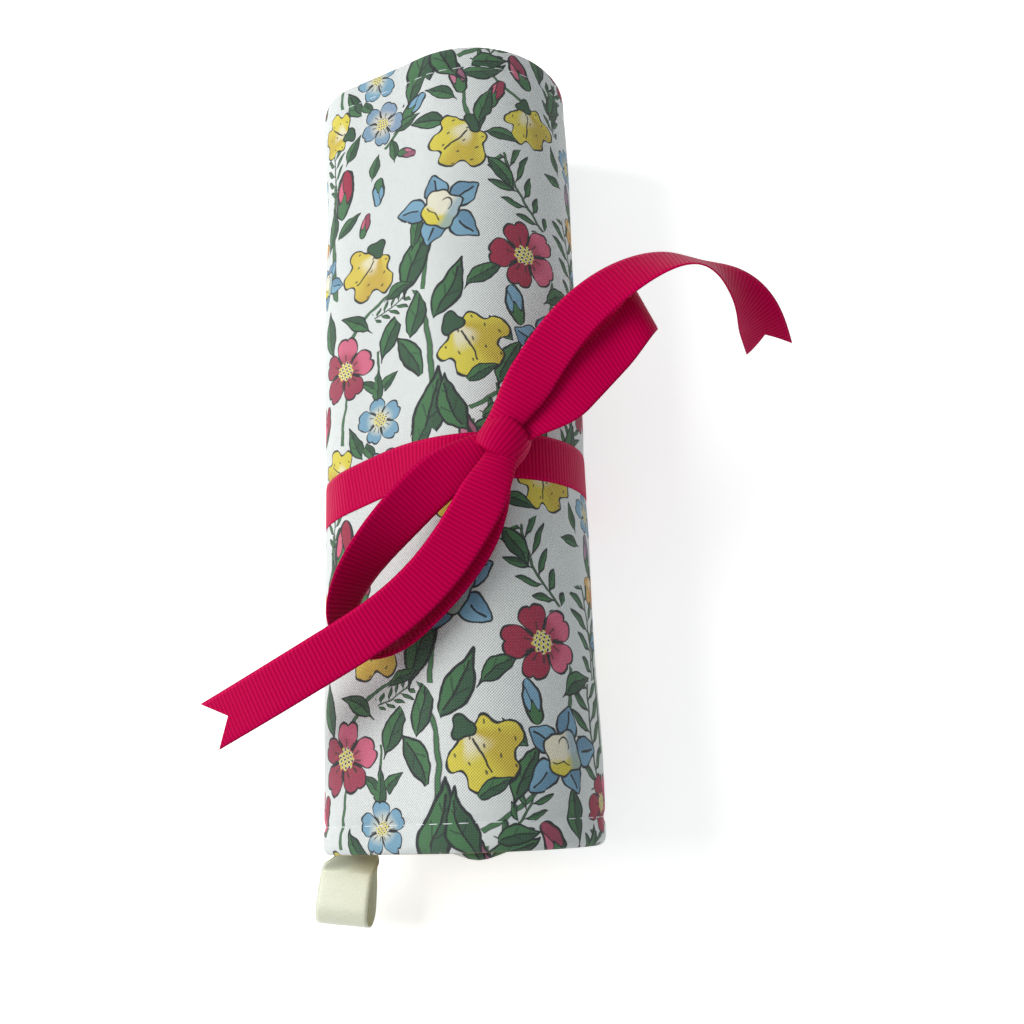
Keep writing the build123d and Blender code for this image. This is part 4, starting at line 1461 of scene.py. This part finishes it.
@dataclass
class Pincushion:
    """Stuffed pincushion that the mat is wound round: a cloth case, its filling and its tacks."""

    left_circle: tuple[float, float, float] = (-12.4 * MM, 22.85 * MM, 6.05 * MM)
    right_circle: tuple[float, float, float] = (12.4 * MM, 27.4 * MM, 14.8 * MM)
    end_round: float = 7 * MM
    around: int = 56
    rings: int = 81
    fill: float = 0.8
    case_wall: float = 0.9 * MM
    tacks: int = 5
    tack: Stitch = Stitch(2.8 * MM, 0.2 * MM, 0.28 * MM)
    shrink: float = 0.9 * MM
    swell_limit: float = 0.9 * MM
    voxel: float = 3.0 * MM
    pressure: float = 4.0
    frames: int = 20

    def pillow(self, name: str, low: Sequence[float], high: Sequence[float], inset: float,
               material: bpy.types.Material) -> bpy.types.Object:
        """Closed form round two circles, with softly rounded ends.

        Args:
            name: the piece's name.
            low, high: corners of the space it fills.
            inset: how far it stays inside that space.
            material: its finish.

        Returns:
            The object. Each cross-section is a belt round a small and a large circle; it shrinks towards
            the ends as a quarter ellipse.
        """
        a, left = np.array(self.left_circle[:2]), self.left_circle[2] - inset
        b, right = np.array(self.right_circle[:2]), self.right_circle[2] - inset
        turn = np.linspace(0, TURN, self.around, endpoint=False)
        out = np.stack([np.cos(turn), np.sin(turn)], -1)
        support = np.where((out @ a + left > out @ b + right)[:, None], a + out * left, b + out * right)
        middle = (a + b) / 2
        belt = support - middle
        half = (high[1] - low[1]) / 2 - inset
        t = np.linspace(-1, 1, self.rings)
        end = np.clip((np.abs(t) * half - (half - self.end_round)) / self.end_round, 0, 1)
        scale = np.sqrt(np.clip(1 - end ** 2, 0.0, 1)) * 0.96 + 0.04
        y = t * half + (low[1] + high[1]) / 2
        ring = np.stack([middle[0] + belt[None, :, 0] * scale[:, None],
                         np.broadcast_to(y[:, None], (len(t), len(turn))),
                         middle[1] + belt[None, :, 1] * scale[:, None]], -1)
        faces = grid_faces(len(t), len(turn), wrap=True).tolist()
        last = (len(t) - 1) * len(turn)
        faces += [list(range(len(turn)))[::-1], [n + last for n in range(len(turn))]]
        return out_facing(make_object(name, ring, faces, material))

    def inflate(self, made: bpy.types.Object) -> None:
        """Swells the case by cloth simulation, holds it back to its limit and smooths it."""
        scene = bpy.context.scene
        remesh = made.modifiers.new("Remesh", "REMESH")
        remesh.mode, remesh.voxel_size = "VOXEL", self.voxel
        self.apply(made)
        before = np.zeros(len(made.data.vertices) * 3, np.float32)
        made.data.vertices.foreach_get("co", before)
        cloth = made.modifiers.new("Cloth", "CLOTH")
        cloth.settings.use_pressure = True
        cloth.settings.uniform_pressure_force = self.pressure
        cloth.settings.effector_weights.gravity = 0
        cloth.point_cache.frame_start, cloth.point_cache.frame_end = 1, self.frames
        for frame in range(1, self.frames + 1):
            scene.frame_set(frame)
        self.apply(made)
        scene.frame_set(1)
        after = np.zeros_like(before)
        made.data.vertices.foreach_get("co", after)
        before, after = before.reshape(-1, 3), after.reshape(-1, 3)
        move = after - before
        size = np.linalg.norm(move, axis=1, keepdims=True)
        held = before + move * np.minimum(1, self.swell_limit / np.maximum(size, 1e-9))
        made.data.vertices.foreach_set("co", held.astype(np.float32).ravel())
        smooth = made.modifiers.new("Subdivision", "SUBSURF")
        smooth.levels = smooth.render_levels = 1
        self.apply(made)
        made.data.polygons.foreach_set("use_smooth", np.ones(len(made.data.polygons), bool))

    @staticmethod
    def apply(made: bpy.types.Object) -> None:
        """Replaces the mesh by what its modifiers make of it."""
        shown = made.evaluated_get(bpy.context.evaluated_depsgraph_get())
        mesh = bpy.data.meshes.new_from_object(shown)
        made.modifiers.clear()
        made.data = mesh

    def build(self, cotton: bpy.types.Material, stuffing: bpy.types.Material,
              thread: bpy.types.Material) -> list[bpy.types.Object]:
        """Builds the case, its filling and the tacks that hold it to the mat."""
        low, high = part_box("pincushion_case")
        case = self.pillow("pincushion_case_cloth", low, high, self.shrink, cotton)
        self.inflate(case)
        filling = self.pillow("pincushion_stuffing", low, high, self.shrink + self.case_wall, stuffing)
        low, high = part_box("pincushion_tacks")
        middle = (low + high) / 2
        reach = np.array([-1.5, 1.5]) * MM
        out = np.broadcast_to(np.array([-0.5, 0, 0.86]), (2, 3))
        rows = []
        for y in np.linspace(low[1] + reach[1], high[1] - reach[1], self.tacks):
            line = np.stack([0 * reach + middle[0], y + reach, 0 * reach + middle[2]], -1)
            rows.append(self.tack.row(line, out))
        tacks = out_facing(make_object("pincushion_tacks_thread", *join_rows(rows), thread))
        return [settle(case, "pincushion_case"),
                settle(filling, "pincushion_filling"),
                settle(tacks, "pincushion_tacks")]


# ---- the ribbon tie --------------------------------------------------------------------------------


@dataclass
class RibbonTie:
    """Grosgrain ribbon round the roll, its knot, two bow loops and two swallow-tailed ends."""

    mat: RolledMat
    ribbon: Ribbon = field(default_factory=Ribbon)
    tack: Stitch = Stitch(2.8 * MM, 0.2 * MM, 0.15 * MM)
    crown: float = 54.8 * MM
    notch: float = 6 * MM
    hinge_from: float = 4 * MM
    hinge_to: float = 13 * MM
    knot_middle: float = 4 * MM
    wrap_middle: float = 4.2 * MM
    knot_heading: float = 52.0
    knot_lean: float = -14.0
    knot_half_width: float = 5.4 * MM
    knot_half_height: float = 4.1 * MM
    table_clearance: float = 0.3 * MM
    knot: tuple[float, float] = (18.0 * MM, -11.0 * MM)
    # Points from the middle of the knot, in mm: x, y, height over the roll's crown, bank in degrees.
    tail_upper: tuple[tuple[float, ...], ...] = (
        (-1.5, 2.0, 5.6, 0), (3.0, 8.0, 7.6, 0), (8.5, 16, 9.5, 2), (16.5, 26.5, 11.5, 6),
        (26, 35, 13.2, 16), (36.5, 40.8, 14, 32), (44, 42.6, 14, 46), (51, 41.8, 13, 56),
        (58, 38.5, 10.2, 34), (63, 35.2, 5.5, 4), (67.2, 31.8, -1.5, -26), (71, 28.4, -10.5, -46))
    tail_lower: tuple[tuple[float, ...], ...] = (
        (1.0, -1.5, 5.8, 0), (-2, -8, 7.8, 0), (-8, -19, 7.8, 0), (-17, -31.5, 7.2, 0), (-29, -42, 6, 0),
        (-42, -49.5, 3.6, 0), (-56, -56.5, -0.8, 0), (-72.5, -64, -8.4, 0))
    loop_lower: tuple[tuple[float, ...], ...] = (
        (-1.5, 0.5, 4.4, 0), (-8, -3, 5.8, 0), (-16, -9, 6.6, 10), (-25, -17.5, 5.6, 28),
        (-33.5, -26.5, 2.2, 48), (-39, -35, -1.6, 60), (-40, -42, -3.4, 66), (-36.5, -46.5, -3.8, 60),
        (-30, -46.5, -2.8, 50), (-22, -41, 0, 36), (-14, -32, 2, 20), (-7, -21, 3, 8), (-3, -8.5, 3.2, 0),
        (-0.5, -2.5, 3.4, 0))
    loop_heading: float = 44.0
    loop_reach: float = 50 * MM
    loop_fold: float = 4.6 * MM
    loop_skew: float = 20.0
    loop_shift: float = 4.0 * MM
    loop_low: float = 1.5 * MM

    def strand(self, stations: Sequence[Sequence[float]]) -> tuple[np.ndarray, np.ndarray]:
        """Smooth path through stations, and the ribbon's direction across it.

        Across is the level direction square to the path, turned about the path by the bank.
        """
        knots = np.array(stations, float)
        knots[:, :3] *= MM
        knots[:, :3] += np.array([self.knot[0], self.knot[1], self.crown])
        line = spline(knots, 400)
        path, bank = line[:, :3], np.radians(line[:, 3])[:, None]
        ahead = unit(np.gradient(path, axis=0))
        side = unit(np.cross(ahead, [0, 0, 1.0]))
        up = np.cross(side, ahead)
        return path, side * np.cos(bank) + up * np.sin(bank)

    def upper_loop(self) -> tuple[np.ndarray, np.ndarray]:
        """Path of the upper loop: out along the heading, over the fold, and back above itself."""
        angle = math.radians(self.loop_heading)
        ahead = np.array([math.cos(angle), math.sin(angle), 0.0])
        side = np.cross(ahead, [0, 0, 1.0])
        reach, fold = self.loop_reach / MM, self.loop_fold / MM
        low = self.loop_low / MM + 0.2
        outline = np.array([
            (1.0, low + 2.4), (6.0, low + 1.6), (14.0, low + 0.6), (26.0, low + 0.1), (38.0, low + 0.6),
            (reach - 2.2, low + 2.6), (reach - 0.4, low + fold), (reach - 2.0, low + fold * 2 - 2.4),
            (38.0, low + fold * 2 - 1.6), (26.0, low + fold * 2 - 2.4), (14.0, low + fold * 2 - 3.6),
            (6.0, low + fold + 0.2), (1.0, low + fold - 0.6)]) * MM
        line = spline(np.concatenate([outline, np.zeros((len(outline), 1))], 1)[:, [0, 2, 1]], 400)
        start = np.array([self.knot[0], self.knot[1], self.crown])
        path = start + line[:, :1] * ahead + line[:, 2:3] * np.array([0, 0, 1.0])
        skew = np.radians(self.loop_skew) * ease((line[:, :1] / self.loop_reach - 0.25) / 0.6)
        share = np.linspace(0, 1, len(path))[:, None]
        path = path + side * self.loop_shift * ease((share - 0.35) / 0.3) * (1 - ease((share - 0.8) / 0.2))
        return path, side * np.cos(skew) - ahead * np.sin(skew)

    def wrap(self) -> tuple[np.ndarray, np.ndarray, np.ndarray]:
        """Path of the knot's own turn of ribbon: an oval round the bow, pinched where it is pulled tight."""
        t = np.linspace(-0.36, 1.36, 160) * math.pi
        axis = math.radians(self.knot_heading)
        along = np.array([math.cos(axis), math.sin(axis), 0.0])
        level = np.cross(along, [0, 0, 1.0])
        centre = np.array([self.knot[0], self.knot[1], self.crown + self.wrap_middle])
        lean = np.sin(t * 0.9) * 0.8 * MM
        path = centre + level * (np.cos(t) * self.knot_half_width)[:, None] \
            + np.array([0, 0, 1.0]) * (np.sin(t) * self.knot_half_height)[:, None] + along * lean[:, None]
        skew = np.radians(self.knot_lean) * np.cos(t)
        ahead = unit(np.gradient(path, axis=0))
        across = along * np.cos(skew)[:, None] + ahead * np.sin(skew)[:, None]
        narrow = 0.86 - 0.16 * np.cos(t - 0.4) ** 2
        return path, across, narrow

    def band(self) -> tuple[np.ndarray, np.ndarray]:
        """Path of the ribbon round the roll: the outer turn's own line, lifted by the ribbon's thickness."""
        turn, low = self.mat.path.first_turn, self.table_clearance
        s = np.linspace(12.4 * MM, turn + 10 * MM, 700)
        y = self.mat.band_line(s)
        inward = -self.mat.unevenness(s, y) - 0.22 * MM
        rest = (s < 25 * MM) | (s > turn - 4 * MM)
        path = self.mat.path.at(s, inward, y)
        path[:, 2] = np.where(rest, np.maximum(path[:, 2], low), path[:, 2])
        path[:, 2] -= ease((s - turn + 8 * MM) / (16 * MM)) * (path[:, 2] - low)
        ahead = unit(np.gradient(path, axis=0))
        return path, unit(np.cross(ahead, self.mat.path.outward(s)))

    def build(self, grosgrain: bpy.types.Material, thread: bpy.types.Material) -> list[bpy.types.Object]:
        """Builds the ribbon's pieces.

        Args:
            grosgrain: the ribbon's finish.
            thread: the finish of its tacks.

        Returns:
            The pieces.
        """
        pieces = []
        open_end, swallow_tail = (0.0, 0.0), (0.0, self.notch)
        strands = {
            "ribbon_tail_upper": (self.strand(self.tail_upper), swallow_tail, (0.8, 0.6), "hung"),
            "ribbon_tail_lower": (self.strand(self.tail_lower), swallow_tail, (-0.5, -0.866), "hung"),
            "bow_loop_upper": (self.upper_loop(), open_end, (0.72, 0.69), "folded"),
            "bow_loop_lower": (self.strand(self.loop_lower), open_end, (-0.8, -0.6), "folded"),
        }
        for node, ((path, across), notch, heading, held) in strands.items():
            away = np.linalg.norm(path - path[0], axis=1)
            narrow = 0.66 + 0.34 * ease(away / (17 * MM))
            crown = (1 - ease(away / (24 * MM))) * 1.2 * MM
            made = self.ribbon.follow(node + "_strip", path, across, grosgrain, notch, narrow, crown)
            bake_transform(out_facing(made))
            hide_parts(node)
            pieces.append(made)
        path, across, narrow = self.wrap()
        knot = self.ribbon.follow("ribbon_knot_wrap", path, across, grosgrain, narrow=narrow, crown=0.9 * MM)
        path, across = self.band()
        band = self.ribbon.follow("ribbon_band_strip", path, across, grosgrain)
        low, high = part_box("ribbon_band_tacks")
        down = np.array([[0, 0, -1.0], [0, 0, -1.0]])
        rows = [self.tack.row(np.array([[low[0], y, 0.75 * MM], [high[0], y, 0.75 * MM]]), down)
                for y in (low[1], high[1])]
        tacks = out_facing(make_object("ribbon_band_tacks_thread", *join_rows(rows), thread))
        return [*pieces, settle(out_facing(knot), "ribbon_knot"),
                settle(out_facing(band), "ribbon_band"),
                settle(tacks, "ribbon_band_tacks")]


@dataclass
class HangingLoop:
    """Folded satin ribbon sewn into the foot end, and its two ends inside the seam."""

    mat: RolledMat
    width: float = 14 * MM
    thick: float = 0.4 * MM
    length: float = 18 * MM
    fold: float = 3.6 * MM
    slope: float = 12.0
    turn: float = 6.0
    seam: float = 8 * MM
    seam_lies: tuple[float, float] = (-0.25 * MM, -0.65 * MM)
    place: float = 181.3 * MM
    twist: float = 5 * MM
    tuck: float = 0.3 * MM
    bend_from: float = -0.5 * MM
    bend_to: float = 3.0 * MM
    origin: tuple[float, float, float] = (-25.84 * MM, -106.3 * MM, 11.88 * MM)

    def lay(self, line: np.ndarray) -> tuple[np.ndarray, np.ndarray, np.ndarray]:
        """Path, direction across and crown of the satin, from its outline seen from the side.

        At the seam the ribbon has the slope and the curve of the mat, and its middle stands out from its
        edges by width squared over eight radii. Both ease over to the loop's own flat slope in the twist.

        Args:
            line: rows of distance out from the seam and height over the ribbon's middle.

        Returns:
            Points, unit vectors across, and how far the ribbon's middle stands out.
        """
        normal = self.mat.path.outward(np.array([self.place]))[0]
        free = ease(line[:, :1] / self.twist)
        slope = (1 - free) * math.atan2(normal[0], -normal[2]) + free * math.radians(self.slope)
        turn = free * math.radians(self.turn)
        out = np.concatenate([-np.sin(turn), -np.cos(turn), 0 * turn], 1)
        level = np.concatenate([np.cos(turn), -np.sin(turn), 0 * turn], 1)
        across = level * np.cos(slope) + np.array([0, 0, 1.0]) * np.sin(slope)
        bulge = (1 - free) * self.width ** 2 / 8 / (self.mat.path.left_radius - self.mat.stack / 2)
        inside = line[:, 1:2] + bulge + (1 - free) * self.tuck
        path = np.array(self.origin) + line[:, :1] * out - inside * np.cross(across, out)
        return path, across, bulge[:, 0]

    def build(self, satin: bpy.types.Material) -> list[bpy.types.Object]:
        """Builds the loop, bent at the seam, and the flat ends sewn in behind it."""
        reach, fold = self.length / MM, self.fold / MM
        outline = np.array([
            (-2.5, 0.35), (0.5, 0.6), (4, 1.7), (8, 2.8), (12, fold - 0.3), (reach - 2.6, fold - 0.5),
            (reach - 0.5, 1.2), (reach - 0.6, -1.4), (reach - 3, -fold + 0.4), (11, -fold + 0.5), (7, -2.4),
            (3.5, -1.2), (0.5, -0.5), (-2.5, -0.35)]) * MM
        line = spline(np.concatenate([outline, np.zeros((len(outline), 1))], 1), 300)
        path, across, bulge = self.lay(line)
        bulge[len(bulge) // 2:] *= -1
        weave = Ribbon(width=self.width, thick=self.thick, pitch=1.2 * MM, rib_depth=0.0, columns=15)
        loop = out_facing(weave.follow("hanging_loop_satin", path, across, satin, crown=bulge))
        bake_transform(loop)
        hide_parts("hanging_loop")
        rows = []
        depth = -np.linspace(1.3 * MM, self.seam + 0.1 * MM, 12)
        for height in self.seam_lies:
            path, across, bulge = self.lay(np.stack([depth, 0 * depth + height], -1))
            flap = weave.follow("satin_end", path, across, satin, crown=-bulge)
            points = np.zeros(len(flap.data.vertices) * 3)
            flap.data.vertices.foreach_get("co", points)
            rows.append((points.reshape(-1, 3), [list(p.vertices) for p in flap.data.polygons]))
            bpy.data.objects.remove(flap)
        points, faces = join_rows(rows)
        ends = out_facing(make_object("hanging_loop_ends_satin", points, faces, satin,
                                      {"Cloth": points[:, [0, 1]]}))
        settle(ends, "hanging_loop_ends")
        return [loop, ends]


# ---- studio ----------------------------------------------------------------------------------------


@dataclass(frozen=True)
class SoftLight:
    """A square soft light: its place and size in metres, its power in watts and its colour."""

    name: str
    place: tuple[float, float, float]
    size: float
    power: float
    colour: tuple[float, float, float] = (1.0, 1.0, 1.0)

    def build(self, target: tuple[float, float, float]) -> None:
        """Makes the light and aims it at a target."""
        data = bpy.data.lights.new(self.name, "AREA")
        data.shape, data.size, data.energy, data.color = "SQUARE", self.size, self.power, self.colour
        lamp = bpy.data.objects.new(self.name, data)
        bpy.context.scene.collection.objects.link(lamp)
        lamp.location = self.place
        lamp.rotation_mode = "QUATERNION"
        lamp.rotation_quaternion = (Vector(self.place) - Vector(target)).to_track_quat("Z", "Y")


@dataclass
class Studio:
    """Pale floor, soft lights and the camera."""

    lights: tuple[SoftLight, ...] = (
        SoftLight("key", (-0.60, 0.10, 0.50), 0.45, 5.8, (1.0, 0.99, 0.965)),
        SoftLight("top", (0.02, 0.05, 0.85), 0.9, 0.7),
    )
    target: tuple[float, float, float] = (0.0, 0.0, 0.03)
    sky_colour: tuple[float, float, float, float] = (0.96, 0.99, 1.0, 1.0)
    sky_strength: float = 0.46
    floor_half: float = 3.0
    floor_rows: int = 9
    floor_drop: float = 0.6 * MM
    floor_glow: float = 0.46
    camera_place: tuple[float, float, float] = (19.73 * MM, -96.3 * MM, 313.16 * MM)
    right: tuple[float, float, float] = (0.99922, -0.03809, -0.01021)
    up: tuple[float, float, float] = (0.03943, 0.96513, 0.25879)
    back: tuple[float, float, float] = (0.0, -0.25899, 0.96588)
    view_share: float = 1100 / 1024

    def build(self) -> None:
        """Makes the floor, the lights, the world and the camera."""
        self.make_floor()
        for light in self.lights:
            light.build(self.target)
        world = bpy.data.worlds.new("studio")
        world.use_nodes = True
        sky = world.node_tree.nodes["Background"]
        sky.inputs["Color"].default_value = self.sky_colour
        sky.inputs["Strength"].default_value = self.sky_strength
        bpy.context.scene.world = world
        bpy.context.scene.view_settings.view_transform = "Standard"
        self.make_camera()

    def make_floor(self) -> None:
        """A large plain floor, just under the roll."""
        t = np.linspace(-self.floor_half, self.floor_half, self.floor_rows)
        x, y = np.meshgrid(t, t, indexing="ij")
        material, _, shader = new_material("floor")
        shader.inputs["Base Color"].default_value = linear(248, 248, 248)
        shader.inputs["Roughness"].default_value = 0.95
        set_gloss(shader, specular=0.0, sheen=0.0)
        shader.inputs["Emission Color"].default_value = (1.0, 1.0, 1.0, 1.0)
        shader.inputs["Emission Strength"].default_value = self.floor_glow
        points = np.stack([x, y, 0 * x - self.floor_drop], -1)
        make_object("floor", points, grid_faces(self.floor_rows, self.floor_rows), material)

    def make_camera(self) -> None:
        """The camera, nearly overhead and tilted a little from the foot end."""
        data = bpy.data.cameras.new("camera")
        data.sensor_width = 36.0
        data.lens = self.view_share * data.sensor_width
        data.clip_start, data.clip_end = 0.01, 20.0
        camera = bpy.data.objects.new("camera", data)
        bpy.context.scene.collection.objects.link(camera)
        rows = np.stack([self.right, self.up, self.back], 1)
        camera.rotation_mode = "QUATERNION"
        camera.rotation_quaternion = Matrix(rows.tolist()).to_quaternion()
        camera.location = self.camera_place
        bpy.context.scene.camera = camera


def main() -> None:
    """Builds the whole sewing case."""
    logging.basicConfig(level=logging.INFO, format="%(message)s")
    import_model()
    Studio().build()
    weaves = Weaves()
    printed = PrintedCotton().make(weaves, FloralPrint().build())
    yellow = linear(226, 196, 104), linear(196, 160, 66)
    lining = PlainCotton("lining_cotton", *yellow).make(weaves)
    case_cloth = PlainCotton("pincushion_cotton", *yellow).make(weaves, own_map=False)
    wadding = Fibre("wadding", linear(238, 236, 228), linear(206, 204, 196)).make(weaves)
    felt = Fibre("felt", linear(196, 66, 112), linear(150, 40, 84)).make(weaves)
    thread = Thread("white_thread", linear(226, 230, 232), linear(196, 202, 208)).make()
    satin = Satin().make()
    ribbon = Ribbon()
    grosgrain = Grosgrain().make(weaves, ribbon.width, ribbon.pitch)

    mat = RolledMat()
    groups = (
        mat.build(printed, lining, wadding, thread),
        Inserts(mat).build(lining, felt, thread),
        Pincushion().build(case_cloth, wadding, thread),
        RibbonTie(mat, ribbon).build(grosgrain, thread),
        HangingLoop(mat).build(satin),
    )
    for piece in (piece for group in groups for piece in group):
        LOG.info("%s: %d faces", piece.name, len(piece.data.polygons))


if __name__ == "__main__":
    main()
